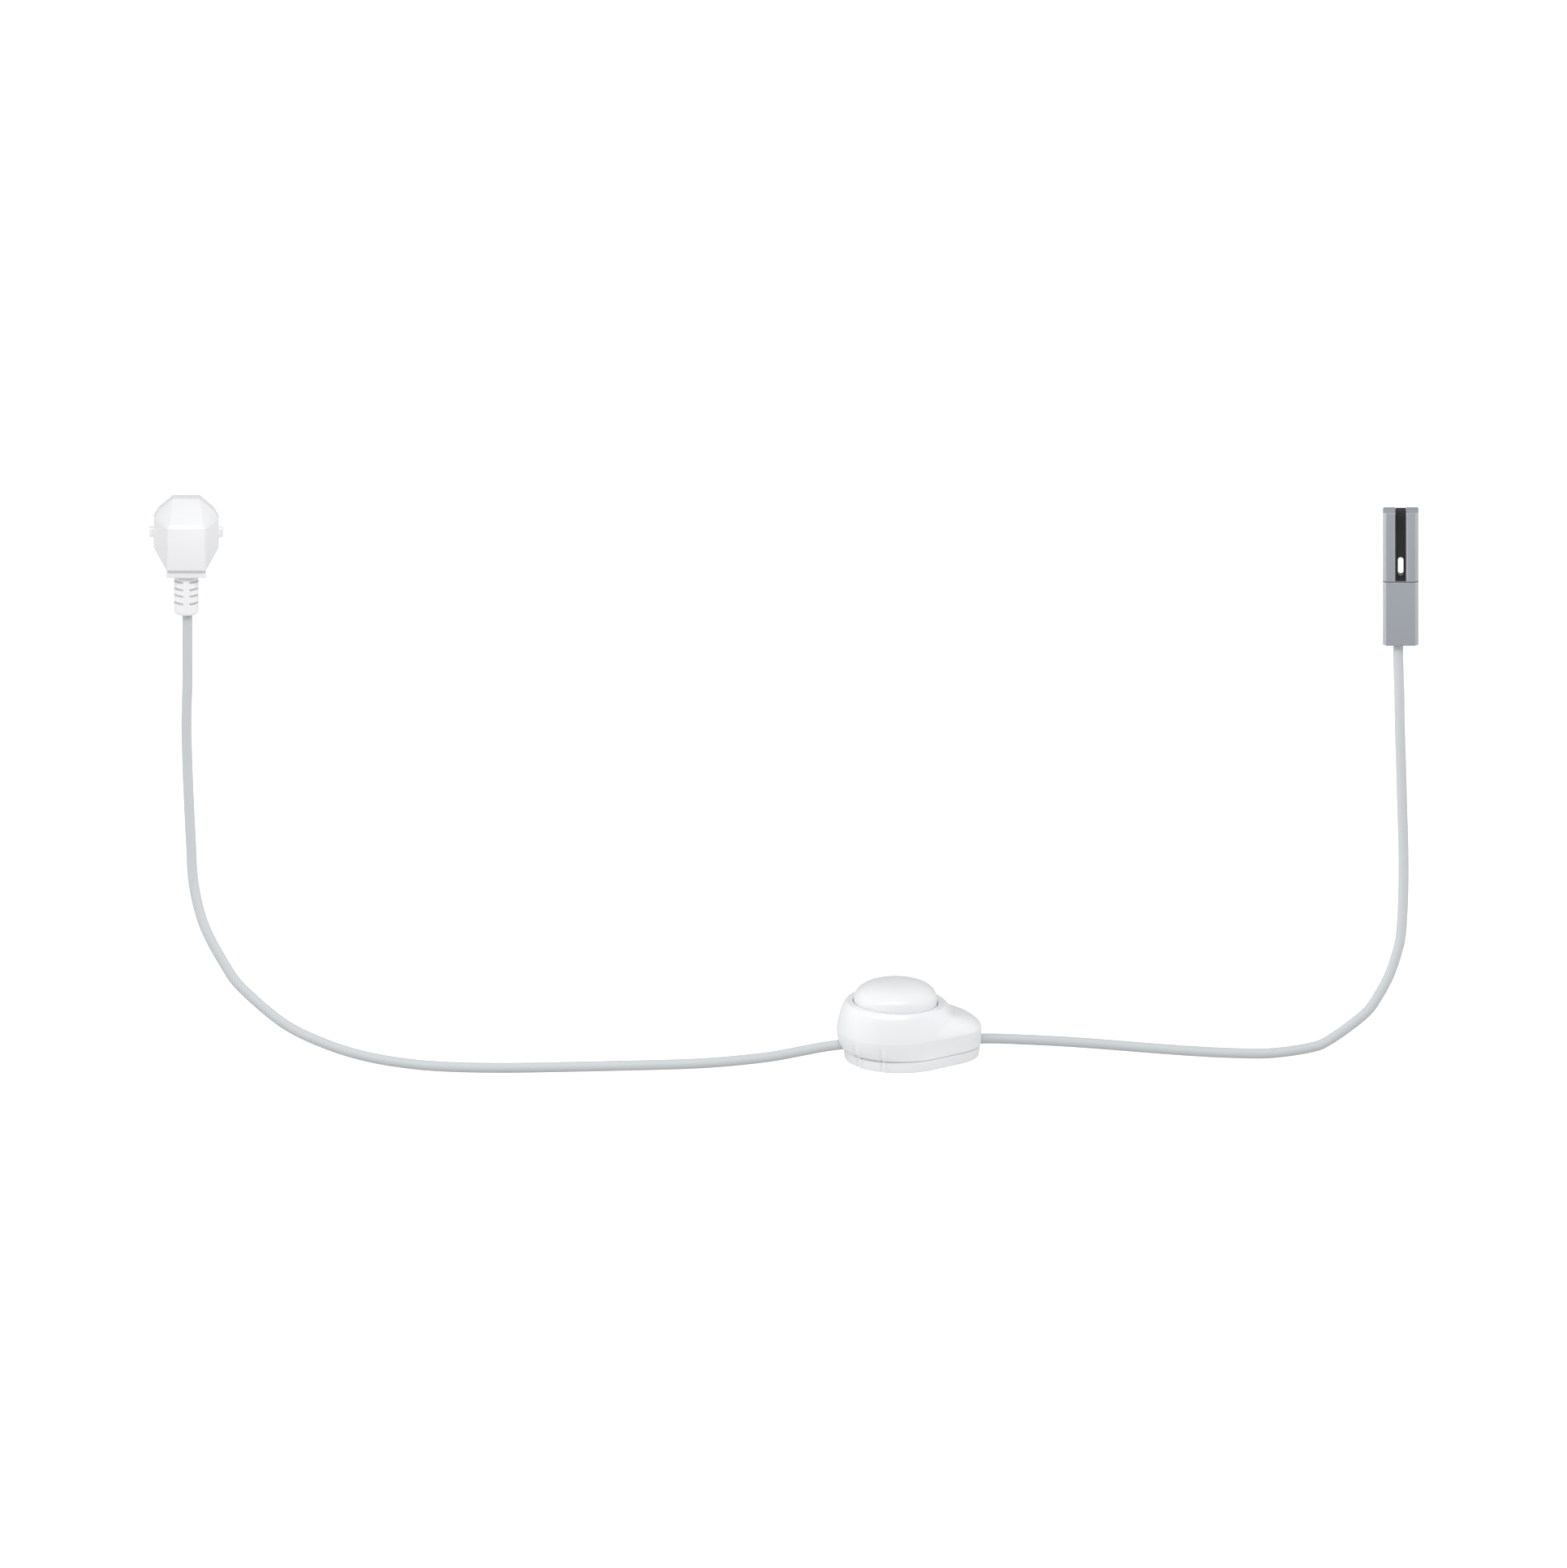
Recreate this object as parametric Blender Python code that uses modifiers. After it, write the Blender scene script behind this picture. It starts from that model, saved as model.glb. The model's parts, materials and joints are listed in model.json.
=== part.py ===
"""Mains lead with an in-line foot switch, an angled plug and a track feed connector.

Sizes are in millimetres, and MM turns them into Blender's metres. The world origin is
the centre of the plug's engagement face. +X runs along the floor from the plug to the
connector, +Y goes into the wall and +Z is up.
"""

import math

import bmesh
import bpy
import numpy as np
from mathutils import Matrix, Vector

MM = 0.001
GAP = 0.3

# Cord
CORD_RADIUS = 2.75
CORD_POINT_SPACING = 14.0
FLOOR_Z = -281.0

# Foot switch, in its own frame: origin at the middle of its base on the floor. Its nose
# is turned a little towards +Y about the button's axis.
SWITCH_AXIS = Vector((384.45, -70.0, FLOOR_Z))
SWITCH_TURN = math.radians(8.0)
BUTTON_X = -7.9
SWITCH_BASE = SWITCH_AXIS - Vector((BUTTON_X, 0.0, 0.0))
AROUND = 40
WALL = 2.2
BASE_EGG = {"round_x": -4.9, "round_r": 30.6, "nose_x": 17.4, "nose_r": 20.1}
SEAM_EGG = {"round_x": -5.3, "round_r": 30.6, "nose_x": 18.3, "nose_r": 20.2}
WIDE_EGG = {"round_x": -8.65, "round_r": 31.1, "nose_x": 19.3, "nose_r": 19.8}
BASE_Z = 0.8
FLOOR_TOP_Z = 2.8
SEAM_Z = 6.7
WIDE_Z = 17.0
RIM_Z = 32.3
RIM_DROP = 1.0
RIM_RADIUS = 24.5
COLLAR_SPAN = 7.5
COLLAR_POWER = 2.1
COLLAR_START = 0.1
NOSE_TOP_Z = 26.05
NOSE_FALL = 0.155
NOSE_HIGHEST_Z = 28.4
NOSE_EDGE = 13.0
NOSE_POWER = 2.2
NOSE_BLEND = 3.0
HOLE_RADIUS = 23.2
BUTTON_RADIUS = 22.7
BUTTON_DOME = 11.1
DOME_POWER = 2.75
FLANGE_RADIUS = 24.3
FLANGE_TOP_Z = 27.4
CORD_Z = 8.8
LEFT_CORD_END_X = -27.3
RIGHT_CORD_END_X = 24.5
PIVOT_Z = 8.0
HOUSING_SCREWS = [(-25.2, 10.0, 20.5), (22.0, 10.0, 23.6), (22.0, -10.0, 23.6)]
FEET = [(-18.0, -15.0), (-18.0, 15.0), (14.0, -13.0), (14.0, 13.0)]

# Plug, in world coordinates
PIN_X = 9.5
PIN_RADIUS = 2.4
PIN_REACH = 19.0
DISC_RADIUS = 18.5
DISC_DEPTH = 9.0
FACE_PLATE = 5.0
BLOCK_DEPTH = 34.0
RELIEF_Y = -22.0
RELIEF_TOP_Z = -21.8
RELIEF_END_Z = -43.0
RELIEF_RADIUS = 6.7
SLOT_HEIGHT = 1.9
SLOT_LEVELS = [-23.0, -27.4, -31.2, -35.5]

# Track connector, in world coordinates
TRACK_X = 658.4
TRACK_HALF = 9.65
TRACK_DEPTH = 11.0
TRACK_TOP = 10.2
TRACK_SEAM = -29.4
TRACK_BOTTOM = -65.5
CHANNEL_HALF = 2.75
CHANNEL_WALL = 0.55
CHANNEL_FLOOR_Y = -5.9
CHANNEL_LOW = -28.6
HOLE_HALF = 1.45
HOLE_LOW = -27.2
HOLE_HIGH = -16.6
BLADE_X = 4.8
CHAMBER_SPLIT_Y = -7.0
TRACK_CORD_X = 657.1
TRACK_CORD_Y = -4.7

# Routes of the two cords, from the plug to the switch and from the switch to the track
PLUG_CORD_ROUTE = [
    (0.6, -22.0, -43.4), (0.6, -22.2, -59.1), (0.6, -23.0, -82.0), (0.1, -24.0, -104.8),
    (0.6, -25.5, -127.5), (1.5, -28.0, -149.8), (2.6, -31.5, -171.8), (4.1, -36.5, -193.1),
    (9.8, -45.5, -213.7), (21.5, -56.0, -233.5), (30.9, -62.5, -244.4),
    (52.9, -74.5, -260.0), (74.9, -84.0, -268.3), (96.9, -90.0, -273.6),
    (118.9, -93.2, -276.6), (140.9, -94.9, -278.0), (170.9, -96.6, -278.1),
    (206.9, -94.9, -278.1), (239.9, -92.6, -278.1), (272.9, -89.6, -278.1),
    (294.9, -85.2, -278.0), (316.9, -80.0, -277.1), (333.9, -76.4, -275.0),
    (346.5, -75.0, -273.0), (356.1, -74.0, -272.1), (365.2, -72.7, -272.2),
]
TRACK_CORD_ROUTE = [
    (416.5, -65.5, -272.2), (430.6, -63.5, -272.2), (441.0, -62.2, -272.6),
    (455.5, -61.0, -273.6), (477.5, -60.9, -274.8), (499.5, -62.0, -276.1),
    (521.5, -64.3, -277.2), (543.5, -67.3, -277.9), (565.6, -70.4, -278.1),
    (587.5, -71.2, -278.0), (609.5, -67.5, -276.0), (620.5, -63.8, -272.4),
    (638.8, -56.0, -260.6), (646.7, -51.0, -251.0), (652.4, -46.2, -241.1),
    (656.2, -41.6, -231.0), (658.6, -37.4, -220.7), (659.8, -30.4, -199.9),
    (659.9, -24.6, -178.7), (659.3, -19.5, -157.2), (658.7, -15.4, -135.3),
    (658.0, -11.6, -113.3), (657.6, -7.8, -91.4), (657.1, -5.0, -75.0),
    (657.1, -4.7, -66.0), (657.1, -4.7, -59.5),
]

# Name: base colour, roughness, metallic
FINISHES = {
    "white_shell": ((0.86, 0.86, 0.85), 0.28, 0.0),
    "white_button": ((0.88, 0.88, 0.87), 0.22, 0.0),
    "white_plug": ((0.87, 0.87, 0.86), 0.4, 0.0),
    "grey_cord": ((0.62, 0.63, 0.64), 0.9, 0.0),
    "grey_track": ((0.34, 0.36, 0.39), 0.45, 0.0),
    "black_channel": ((0.025, 0.025, 0.028), 0.5, 0.0),
    "inner_plastic": ((0.75, 0.75, 0.72), 0.5, 0.0),
    "brass_metal": ((0.72, 0.55, 0.28), 0.3, 1.0),
    "steel_metal": ((0.6, 0.6, 0.6), 0.35, 1.0),
    "pin_metal": ((0.75, 0.75, 0.75), 0.2, 1.0),
    "foot_rubber": ((0.05, 0.05, 0.05), 0.8, 0.0),
    "lead_brown": ((0.22, 0.1, 0.05), 0.5, 0.0),
    "lead_blue": ((0.04, 0.15, 0.5), 0.5, 0.0),
}


def start_scene():
    for obj in list(bpy.data.objects):
        bpy.data.objects.remove(obj)
    groups = {}
    for name in ("foot_switch_lead", "cutters"):
        groups[name] = bpy.data.collections.new(name)
        bpy.context.scene.collection.children.link(groups[name])
    finishes = {}
    for name, (colour, roughness, metallic) in FINISHES.items():
        finish = bpy.data.materials.new(name)
        finish.use_nodes = True
        shader = finish.node_tree.nodes["Principled BSDF"]
        shader.inputs["Base Color"].default_value = (*colour, 1.0)
        shader.inputs["Roughness"].default_value = roughness
        shader.inputs["Metallic"].default_value = metallic
        finishes[name] = finish
    return groups, finishes


GROUPS, MATERIALS = start_scene()


# Shapes ---------------------------------------------------------------------------------


def place(name, data, finish, origin):
    """Adds an object for this data. A finish of None makes it a cutter."""
    obj = bpy.data.objects.new(name, data)
    obj.location = Vector(origin) * MM
    if finish is None:
        obj.hide_render = True
        obj.display_type = "WIRE"
        GROUPS["cutters"].objects.link(obj)
    else:
        data.materials.append(MATERIALS[finish])
        GROUPS["foot_switch_lead"].objects.link(obj)
    return obj


def solid(name, bm, finish, origin):
    bmesh.ops.recalc_face_normals(bm, faces=bm.faces)
    bmesh.ops.scale(bm, vec=(MM, MM, MM), verts=bm.verts)
    mesh = bpy.data.meshes.new(name)
    bm.to_mesh(mesh)
    bm.free()
    mesh.shade_smooth()
    mesh.set_sharp_from_angle(angle=math.radians(35))
    return place(name, mesh, finish, origin)


def bevel(obj, width, segments=2):
    rounding = obj.modifiers.new("edges", "BEVEL")
    rounding.width = width * MM
    rounding.segments = segments
    rounding.limit_method = "ANGLE"
    return obj


def box(name, low, high, finish, origin=(0, 0, 0), round_edges=0.0):
    low, high = Vector(low), Vector(high)
    bm = bmesh.new()
    bmesh.ops.create_cube(bm, size=1.0)
    bmesh.ops.scale(bm, vec=high - low, verts=bm.verts)
    bmesh.ops.translate(bm, vec=(high + low) / 2, verts=bm.verts)
    obj = solid(name, bm, finish, origin)
    return bevel(obj, round_edges) if round_edges else obj


def rod(name, start, end, radius, finish, origin=(0, 0, 0), end_radius=None, sides=16):
    """A cylinder, or a cone when end_radius differs, from one point to another."""
    start, end = Vector(start), Vector(end)
    turn = (end - start).to_track_quat("Z", "Y").to_matrix().to_4x4()
    bm = bmesh.new()
    bmesh.ops.create_cone(
        bm,
        cap_ends=True,
        segments=sides,
        radius1=radius,
        radius2=radius if end_radius is None else end_radius,
        depth=(end - start).length,
        matrix=Matrix.Translation((start + end) / 2) @ turn,
    )
    return solid(name, bm, finish, origin)


def turned(name, profile, finish, origin, axis=(0, 0, 1), steps=16):
    """Turns a profile of (radius, height), which runs from the top down its outer side."""
    mesh = bpy.data.meshes.new(name)
    points = [(radius * MM, 0.0, height * MM) for radius, height in profile]
    mesh.from_pydata(points, [(i, i + 1) for i in range(len(points) - 1)], [])
    obj = place(name, mesh, finish, origin)
    obj.rotation_mode = "QUATERNION"
    obj.rotation_quaternion = Vector(axis).to_track_quat("Z", "Y")
    screw = obj.modifiers.new("turn", "SCREW")
    screw.steps = steps
    screw.render_steps = steps
    screw.use_merge_vertices = True
    screw.merge_threshold = 0.00001
    screw.use_smooth_shade = True
    return obj


def loft(name, rings, finish, origin, looped=False):
    """Joins rings of equal count. A looped loft closes on itself, and others get flat ends."""
    bm = bmesh.new()
    rows = [[bm.verts.new(point) for point in ring] for ring in rings]
    pairs = list(zip(rows, rows[1:]))
    if looped:
        pairs.append((rows[-1], rows[0]))
    else:
        bm.faces.new(rows[0])
        bm.faces.new(rows[-1])
    for lower, upper in pairs:
        for i in range(len(lower)):
            j = (i + 1) % len(lower)
            bm.faces.new((lower[i], lower[j], upper[j], upper[i]))
    return solid(name, bm, finish, origin)


def hull(name, points, finish, origin=(0, 0, 0)):
    bm = bmesh.new()
    for point in points:
        bm.verts.new(point)
    bmesh.ops.convex_hull(bm, input=bm.verts)
    loose = [vert for vert in bm.verts if not vert.link_faces]
    bmesh.ops.delete(bm, geom=loose, context="VERTS")
    return solid(name, bm, finish, origin)


def combine(obj, operation, others):
    for other in others:
        step = obj.modifiers.new(operation.lower(), "BOOLEAN")
        step.operation = operation
        step.solver = "EXACT"
        step.object = other
    return obj


def smooth_route(points, spacing):
    """Points at an even spacing along a Catmull-Rom curve through the given points."""
    knots = [Vector(point) for point in points]
    knots = [2 * knots[0] - knots[1], *knots, 2 * knots[-1] - knots[-2]]
    fine = []
    for i in range(1, len(knots) - 2):
        before, here, there, after = knots[i - 1 : i + 3]
        for step in range(16):
            t = step / 16
            fine.append(
                here
                + 0.5 * t * (there - before)
                + t * t * (before - 2.5 * here + 2 * there - 0.5 * after)
                + t * t * t * (1.5 * (here - there) + 0.5 * (after - before))
            )
    fine.append(knots[-2])
    reach = np.cumsum([0.0] + [(b - a).length for a, b in zip(fine, fine[1:])])
    wanted = np.linspace(0.0, reach[-1], round(reach[-1] / spacing) + 1)
    columns = [np.interp(wanted, reach, [point[k] for point in fine]) for k in range(3)]
    return [Vector(point) for point in zip(*columns)]


def tube(name, points, radius, finish, origin=(0, 0, 0)):
    curve = bpy.data.curves.new(name, "CURVE")
    curve.dimensions = "3D"
    curve.bevel_depth = radius * MM
    curve.bevel_resolution = 2
    curve.use_fill_caps = True
    spline = curve.splines.new("POLY")
    spline.points.add(len(points) - 1)
    for slot, point in zip(spline.points, points):
        slot.co = (*(Vector(point) * MM), 1.0)
    return place(name, curve, finish, origin)


def machine_screw(name, top, down, head, shank, length, finish):
    """A slotted round-head screw: its head's top is at top, and it points along down."""
    top, down = Vector(top), Vector(down)
    profile = [
        (0, 0), (head * 0.8, 0), (head, -0.4), (head, -1.2), (shank, -1.2),
        (shank, -length + 0.5), (shank - 0.5, -length), (0, -length),
    ]
    screw = turned(name, profile, finish, top, axis=-down, steps=12)
    across = Vector((0, 1, 0)) if abs(down.y) < 0.5 else Vector((1, 0, 0))
    along = down.cross(across)
    lift = down * -1.0
    deep = down * 0.6
    slot = hull(
        name + "_slot",
        [
            top + sign_a * across * (head + 1) + sign_b * along * 0.35 + depth
            for sign_a in (-1, 1)
            for sign_b in (-1, 1)
            for depth in (lift, deep)
        ],
        None,
    )
    return combine(screw, "DIFFERENCE", [slot])


def terminal_block(name, low, high, holes, entry_axis, screw_axis, origin):
    """A brass block with one wire hole and one screw hole for each of two wires."""
    block = box(name, low, high, "brass_metal", origin, round_edges=0.4)
    cutters = []
    for i, (screw_mouth, wire_mouth) in enumerate(holes):
        screw_end = Vector(screw_mouth) + Vector(screw_axis) * 4.2
        wire_end = Vector(wire_mouth) + Vector(entry_axis) * 2.6
        mouth = Vector(screw_mouth) - Vector(screw_axis)
        entry = Vector(wire_mouth) - Vector(entry_axis)
        cutters.append(rod(f"{name}_bore_{i}", mouth, screw_end, 1.5, None, origin, sides=10))
        cutters.append(rod(f"{name}_entry_{i}", entry, wire_end, 1.3, None, origin, sides=10))
    return combine(block, "DIFFERENCE", cutters)


# Foot switch ----------------------------------------------------------------------------


def egg_reach(angle, egg, inset=0.0):
    """Distance from the button's axis to an egg outline, the hull of two circles."""
    normals = angle + np.linspace(-1.45, 1.45, 581)
    round_side = (egg["round_x"] - BUTTON_X) * np.cos(normals) + egg["round_r"]
    nose_side = (egg["nose_x"] - BUTTON_X) * np.cos(normals) + egg["nose_r"]
    support = np.maximum(round_side, nose_side) - inset
    return float((support / np.cos(normals - angle)).min())


def rim_height(angle):
    return RIM_Z - RIM_DROP * math.cos(angle)


def ring(reach_and_height):
    """A ring of points about the button's axis from a function of the angle."""
    points = []
    for step in range(AROUND):
        angle = 2 * math.pi * step / AROUND
        reach, height = reach_and_height(angle)
        points.append((BUTTON_X + reach * math.cos(angle), reach * math.sin(angle), height))
    return points


def lower_wall(turn, offset):
    """The wall from the seam, at 0 degrees, out to the widest outline, at 90."""

    def at(angle):
        seam = egg_reach(angle, SEAM_EGG)
        wide = egg_reach(angle, WIDE_EGG)
        bulge = math.sin(math.radians(turn))
        lift = 1 - math.cos(math.radians(turn))
        return seam + (wide - seam) * bulge - offset, SEAM_Z + GAP + (WIDE_Z - SEAM_Z) * lift

    return ring(at)


def rounded(share, power):
    """A quarter of a superellipse: height at a share of the way in from its edge."""
    return (1 - (1 - min(share, 1.0)) ** power) ** (1 / power)


def crowned(share, start, power):
    """A rounded height from 0 to 1 that sets off at a slant, not straight up."""
    low = rounded(start, power)
    return (rounded(start + (1 - start) * max(share, 0.0), power) - low) / (1 - low)


def shoulder_height(angle, reach, wide):
    """Height of the top: a round collar about the button, running into the long nose."""
    rim = rim_height(angle)
    span = min(COLLAR_SPAN, wide - RIM_RADIUS)
    collar = crowned(1 - (reach - RIM_RADIUS) / span, COLLAR_START, COLLAR_POWER)
    top = min(NOSE_TOP_Z - NOSE_FALL * (reach * math.cos(angle) - 26.0), NOSE_HIGHEST_Z)
    nose = rounded((wide - reach) / NOSE_EDGE, NOSE_POWER)
    first, second = WIDE_Z + (rim - WIDE_Z) * collar, WIDE_Z + (top - WIDE_Z) * nose
    blend = NOSE_BLEND * min((wide - reach) / 4, 1.0)
    height = (first + second + math.hypot(first - second, blend)) / 2
    return min(height, rim)


def upper_wall(turn, offset):
    """The wall from the widest outline, at 0 degrees, up to the rim, at 90."""

    def at(angle):
        wide = egg_reach(angle, WIDE_EGG)
        reach = RIM_RADIUS + (wide - RIM_RADIUS) * math.cos(math.radians(turn)) ** 0.8
        height = shoulder_height(angle, reach, wide)
        upward = (height - WIDE_Z) / (rim_height(angle) - WIDE_Z)
        return reach - offset, height - offset * min(1.0, 1.6 * upward)

    return ring(at)


def upper_housing():
    rings = [lower_wall(turn, 0) for turn in (0, 30, 60)]
    rings += [upper_wall(turn, 0) for turn in (0, 16, 30, 42, 54, 66, 78)]
    rings.append(ring(lambda angle: (RIM_RADIUS, rim_height(angle))))
    rings.append(ring(lambda angle: (HOLE_RADIUS + 0.7, rim_height(angle))))
    rings.append(ring(lambda angle: (HOLE_RADIUS, rim_height(angle) - 0.7)))
    rings.append(ring(lambda angle: (HOLE_RADIUS, rim_height(angle) - 3.0)))
    rings.append(ring(lambda angle: (FLANGE_RADIUS + 0.2, rim_height(angle) - 3.3)))
    rings += [upper_wall(turn, WALL) for turn in (72, 54, 36, 18)]
    rings += [lower_wall(turn, WALL) for turn in (45, 0)]
    housing = loft("upper_housing", rings, "white_shell", SWITCH_BASE, looped=True)
    bosses = []
    for i, (x, y, boss_top) in enumerate(HOUSING_SCREWS):
        start, end = (x, y, SEAM_Z + GAP), (x, y, boss_top)
        bosses.append(rod(f"boss_{i}", start, end, 3.6, None, SWITCH_BASE))
    x, y, boss_top = HOUSING_SCREWS[0]
    low, high = (x - 7.8, y - 0.8, SEAM_Z + GAP), (x, y + 0.8, boss_top)
    bosses.append(box("boss_web", low, high, None, SWITCH_BASE))
    combine(housing, "UNION", bosses)
    cuts = []
    for i, (x, y, _) in enumerate(HOUSING_SCREWS):
        start, end = (x, y, 2.0), (x, y, 17.0)
        cuts.append(rod(f"screw_way_{i}", start, end, 1.6, None, SWITCH_BASE, sides=16))
    combine(housing, "DIFFERENCE", cuts + cord_ways("upper"))


def cord_ways(name):
    """Cutters for the two cords, which pass through the seam at both ends."""
    radius = CORD_RADIUS + GAP
    return [
        rod(f"{name}_{side}", (start, 0, CORD_Z), (end, 0, CORD_Z), radius, None, SWITCH_BASE)
        for side, start, end in (("left_way", -44.0, -31.0), ("right_way", 32.0, 46.0))
    ]


def clamp_seat(name, x):
    """Ribs under and beside a cord, with a screw hole in each side post."""
    rib = box(name + "_rib", (x - 1.5, -6, 2.3), (x + 1.5, 6, CORD_Z - 3.3), None, SWITCH_BASE)
    posts = []
    for side in (-1, 1):
        inner, outer = sorted((side * 3.2, side * 6.6))
        low, high = (x - 1.5, inner, 2.2), (x + 1.5, outer, CORD_Z + 2.5)
        posts.append(box(f"{name}_post_{side}", low, high, None, SWITCH_BASE))
    return [rib, *posts]


def lower_housing():
    levels = [
        (BASE_Z, BASE_EGG, 1.2), (BASE_Z + 0.9, BASE_EGG, 0.2), (SEAM_Z, SEAM_EGG, 0.2),
        (SEAM_Z, SEAM_EGG, WALL + 0.2), (FLOOR_TOP_Z, BASE_EGG, WALL + 0.4),
    ]
    rings = [
        ring(lambda angle, z=z, egg=egg, inset=inset: (egg_reach(angle, egg, inset), z))
        for z, egg, inset in levels
    ]
    housing = loft("lower_housing", rings, "white_shell", SWITCH_BASE)
    added = clamp_seat("left_seat", LEFT_CORD_END_X - 1.7)
    added += clamp_seat("right_seat", RIGHT_CORD_END_X + 3.0)
    for i, (x, y, _) in enumerate(HOUSING_SCREWS):
        start, end = (x, y, 2.0), (x, y, SEAM_Z)
        added.append(rod(f"screw_tube_{i}", start, end, 3.9, None, SWITCH_BASE))
    combine(housing, "UNION", added)
    cuts = []
    for i, (x, y, _) in enumerate(HOUSING_SCREWS):
        start, end = (x, y, 0.0), (x, y, 8.0)
        cuts.append(rod(f"screw_hole_{i}", start, end, 1.6, None, SWITCH_BASE, sides=16))
        start, end = (x, y, 0.0), (x, y, 3.2)
        cuts.append(rod(f"screw_head_{i}", start, end, 3.2, None, SWITCH_BASE))
    for i, (x, y) in enumerate(FEET):
        start, end = (x, y, 0.0), (x, y, BASE_Z + 0.8)
        cuts.append(rod(f"foot_recess_{i}", start, end, 4.3, None, SWITCH_BASE))
    for i, (x, y) in enumerate(clamp_screw_places()):
        start, end = (x, y, CORD_Z - 2.4), (x, y, CORD_Z + 4)
        cuts.append(rod(f"clamp_hole_{i}", start, end, 1.1, None, SWITCH_BASE, sides=12))
    combine(housing, "DIFFERENCE", cuts + cord_ways("lower"))


def clamp_screw_places():
    left_x, right_x = LEFT_CORD_END_X - 1.7, RIGHT_CORD_END_X + 3.0
    return [(x, side * 5.1) for x in (left_x, right_x) for side in (-1, 1)]


def dome_profile(shares, radius, base):
    """Points of a superellipse dome at shares of its radius."""
    return [
        (share * radius, base + BUTTON_DOME * (1 - share**DOME_POWER) ** (1 / DOME_POWER))
        for share in shares
    ]


def foot_button():
    inner_radius = BUTTON_RADIUS - 2.0
    share = [0, 0.3, 0.55, 0.75, 0.89, 0.97]
    profile = dome_profile(share, BUTTON_RADIUS, RIM_Z)
    profile += [
        (BUTTON_RADIUS, RIM_Z), (BUTTON_RADIUS, FLANGE_TOP_Z), (FLANGE_RADIUS, FLANGE_TOP_Z),
        (FLANGE_RADIUS, FLANGE_TOP_Z - 1.5), (inner_radius, FLANGE_TOP_Z - 1.5),
    ]
    profile += dome_profile(reversed(share[:-1]), inner_radius, RIM_Z - 2.0)
    turned("foot_button", profile, "white_button", button_axis_base(), steps=36)


def button_axis_base():
    return SWITCH_BASE + Vector((BUTTON_X, 0.0, 0.0))


def button_plunger():
    profile = [
        (0, 40.3), (7.5, 40.3), (8, 39.8), (8, 16.8), (6.3, 16.8), (6.3, 38.7), (0, 38.7),
    ]
    turned("button_plunger", profile, "inner_plastic", button_axis_base(), steps=20)


def return_spring():
    turns, radius, low, high, per_turn = 5, 3.8, 16.3, 38.0, 8
    points = []
    for step in range(turns * per_turn + 1):
        angle = 2 * math.pi * step / per_turn
        height = low + (high - low) * step / (turns * per_turn)
        points.append((radius * math.cos(angle), radius * math.sin(angle), height))
    tube("return_spring", points, 0.45, "steel_metal", button_axis_base())


def ratchet_rotor():
    origin = button_axis_base()
    rotor = rod("ratchet_rotor", (0, 0, 11.4), (0, 0, 14.6), 5.0, "inner_plastic", origin)
    teeth = []
    for i in range(4):
        angle = math.radians(45 + 90 * i)
        reach = Vector((math.cos(angle), math.sin(angle), 0)) * 4.6
        start, end = reach + Vector((0, 0, 11.4)), reach + Vector((0, 0, 15.4))
        teeth.append(rod(f"rotor_lug_{i}", start, end, 1.2, None, origin, 0.7, sides=12))
    combine(rotor, "UNION", teeth)
    pin_way = rod("rotor_bore", (0, 0, 8), (0, 0, 20), 1.8, None, origin, sides=16)
    combine(rotor, "DIFFERENCE", [pin_way])


def rotor_bridge():
    origin = button_axis_base()
    bridge = box("rotor_bridge", (-4, -11, 9.9), (4, 11, 11.1), "inner_plastic", origin, 0.3)
    pin = rod("bridge_pin", (0, 0, 10.5), (0, 0, 30.0), 1.5, None, origin, 1.2, sides=16)
    combine(bridge, "UNION", [pin])


def contact_bridge():
    origin = button_axis_base()
    low, high = (-9.5, -5.5, PIVOT_Z - 0.5), (9.5, 5.5, PIVOT_Z + 0.5)
    bridge = box("contact_bridge", low, high, "brass_metal", origin, 0.3)
    start, end = (0, -10.6, PIVOT_Z), (0, 10.6, PIVOT_Z)
    axle = rod("contact_axle", start, end, 0.9, None, origin, sides=16)
    combine(bridge, "UNION", [axle])


def switch_carrier():
    origin = button_axis_base()
    plate = box("switch_carrier", (-10.4, -12, 3.1), (14, 12, 5.1), "inner_plastic", origin, 0.5)
    walls = []
    for side in (-1, 1):
        inner, outer = sorted((side * 9.2, side * 11.0))
        walls.append(box(f"carrier_wall_{side}", (-4, inner, 4.5), (4, outer, 9.6), None, origin))
    combine(plate, "UNION", walls)
    start, end = (0, -14, PIVOT_Z), (0, 14, PIVOT_Z)
    combine(plate, "DIFFERENCE", [rod("pivot_way", start, end, 1.2, None, origin, sides=16)])


def fixed_contacts():
    origin = button_axis_base()
    for name, side in (("fixed_contact_left", -1), ("fixed_contact_right", 1)):
        inner, outer = sorted((side * 6.2, side * 10.0))
        contact = box(name, (inner, -4, 5.4), (outer, 4, 6.0), "brass_metal", origin, 0.15)
        start, end = (side * 8.2, 0, 5.6), (side * 8.2, 0, 6.3)
        combine(contact, "UNION", [rod(name + "_dot", start, end, 1.6, None, origin, 1.2)])


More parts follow.
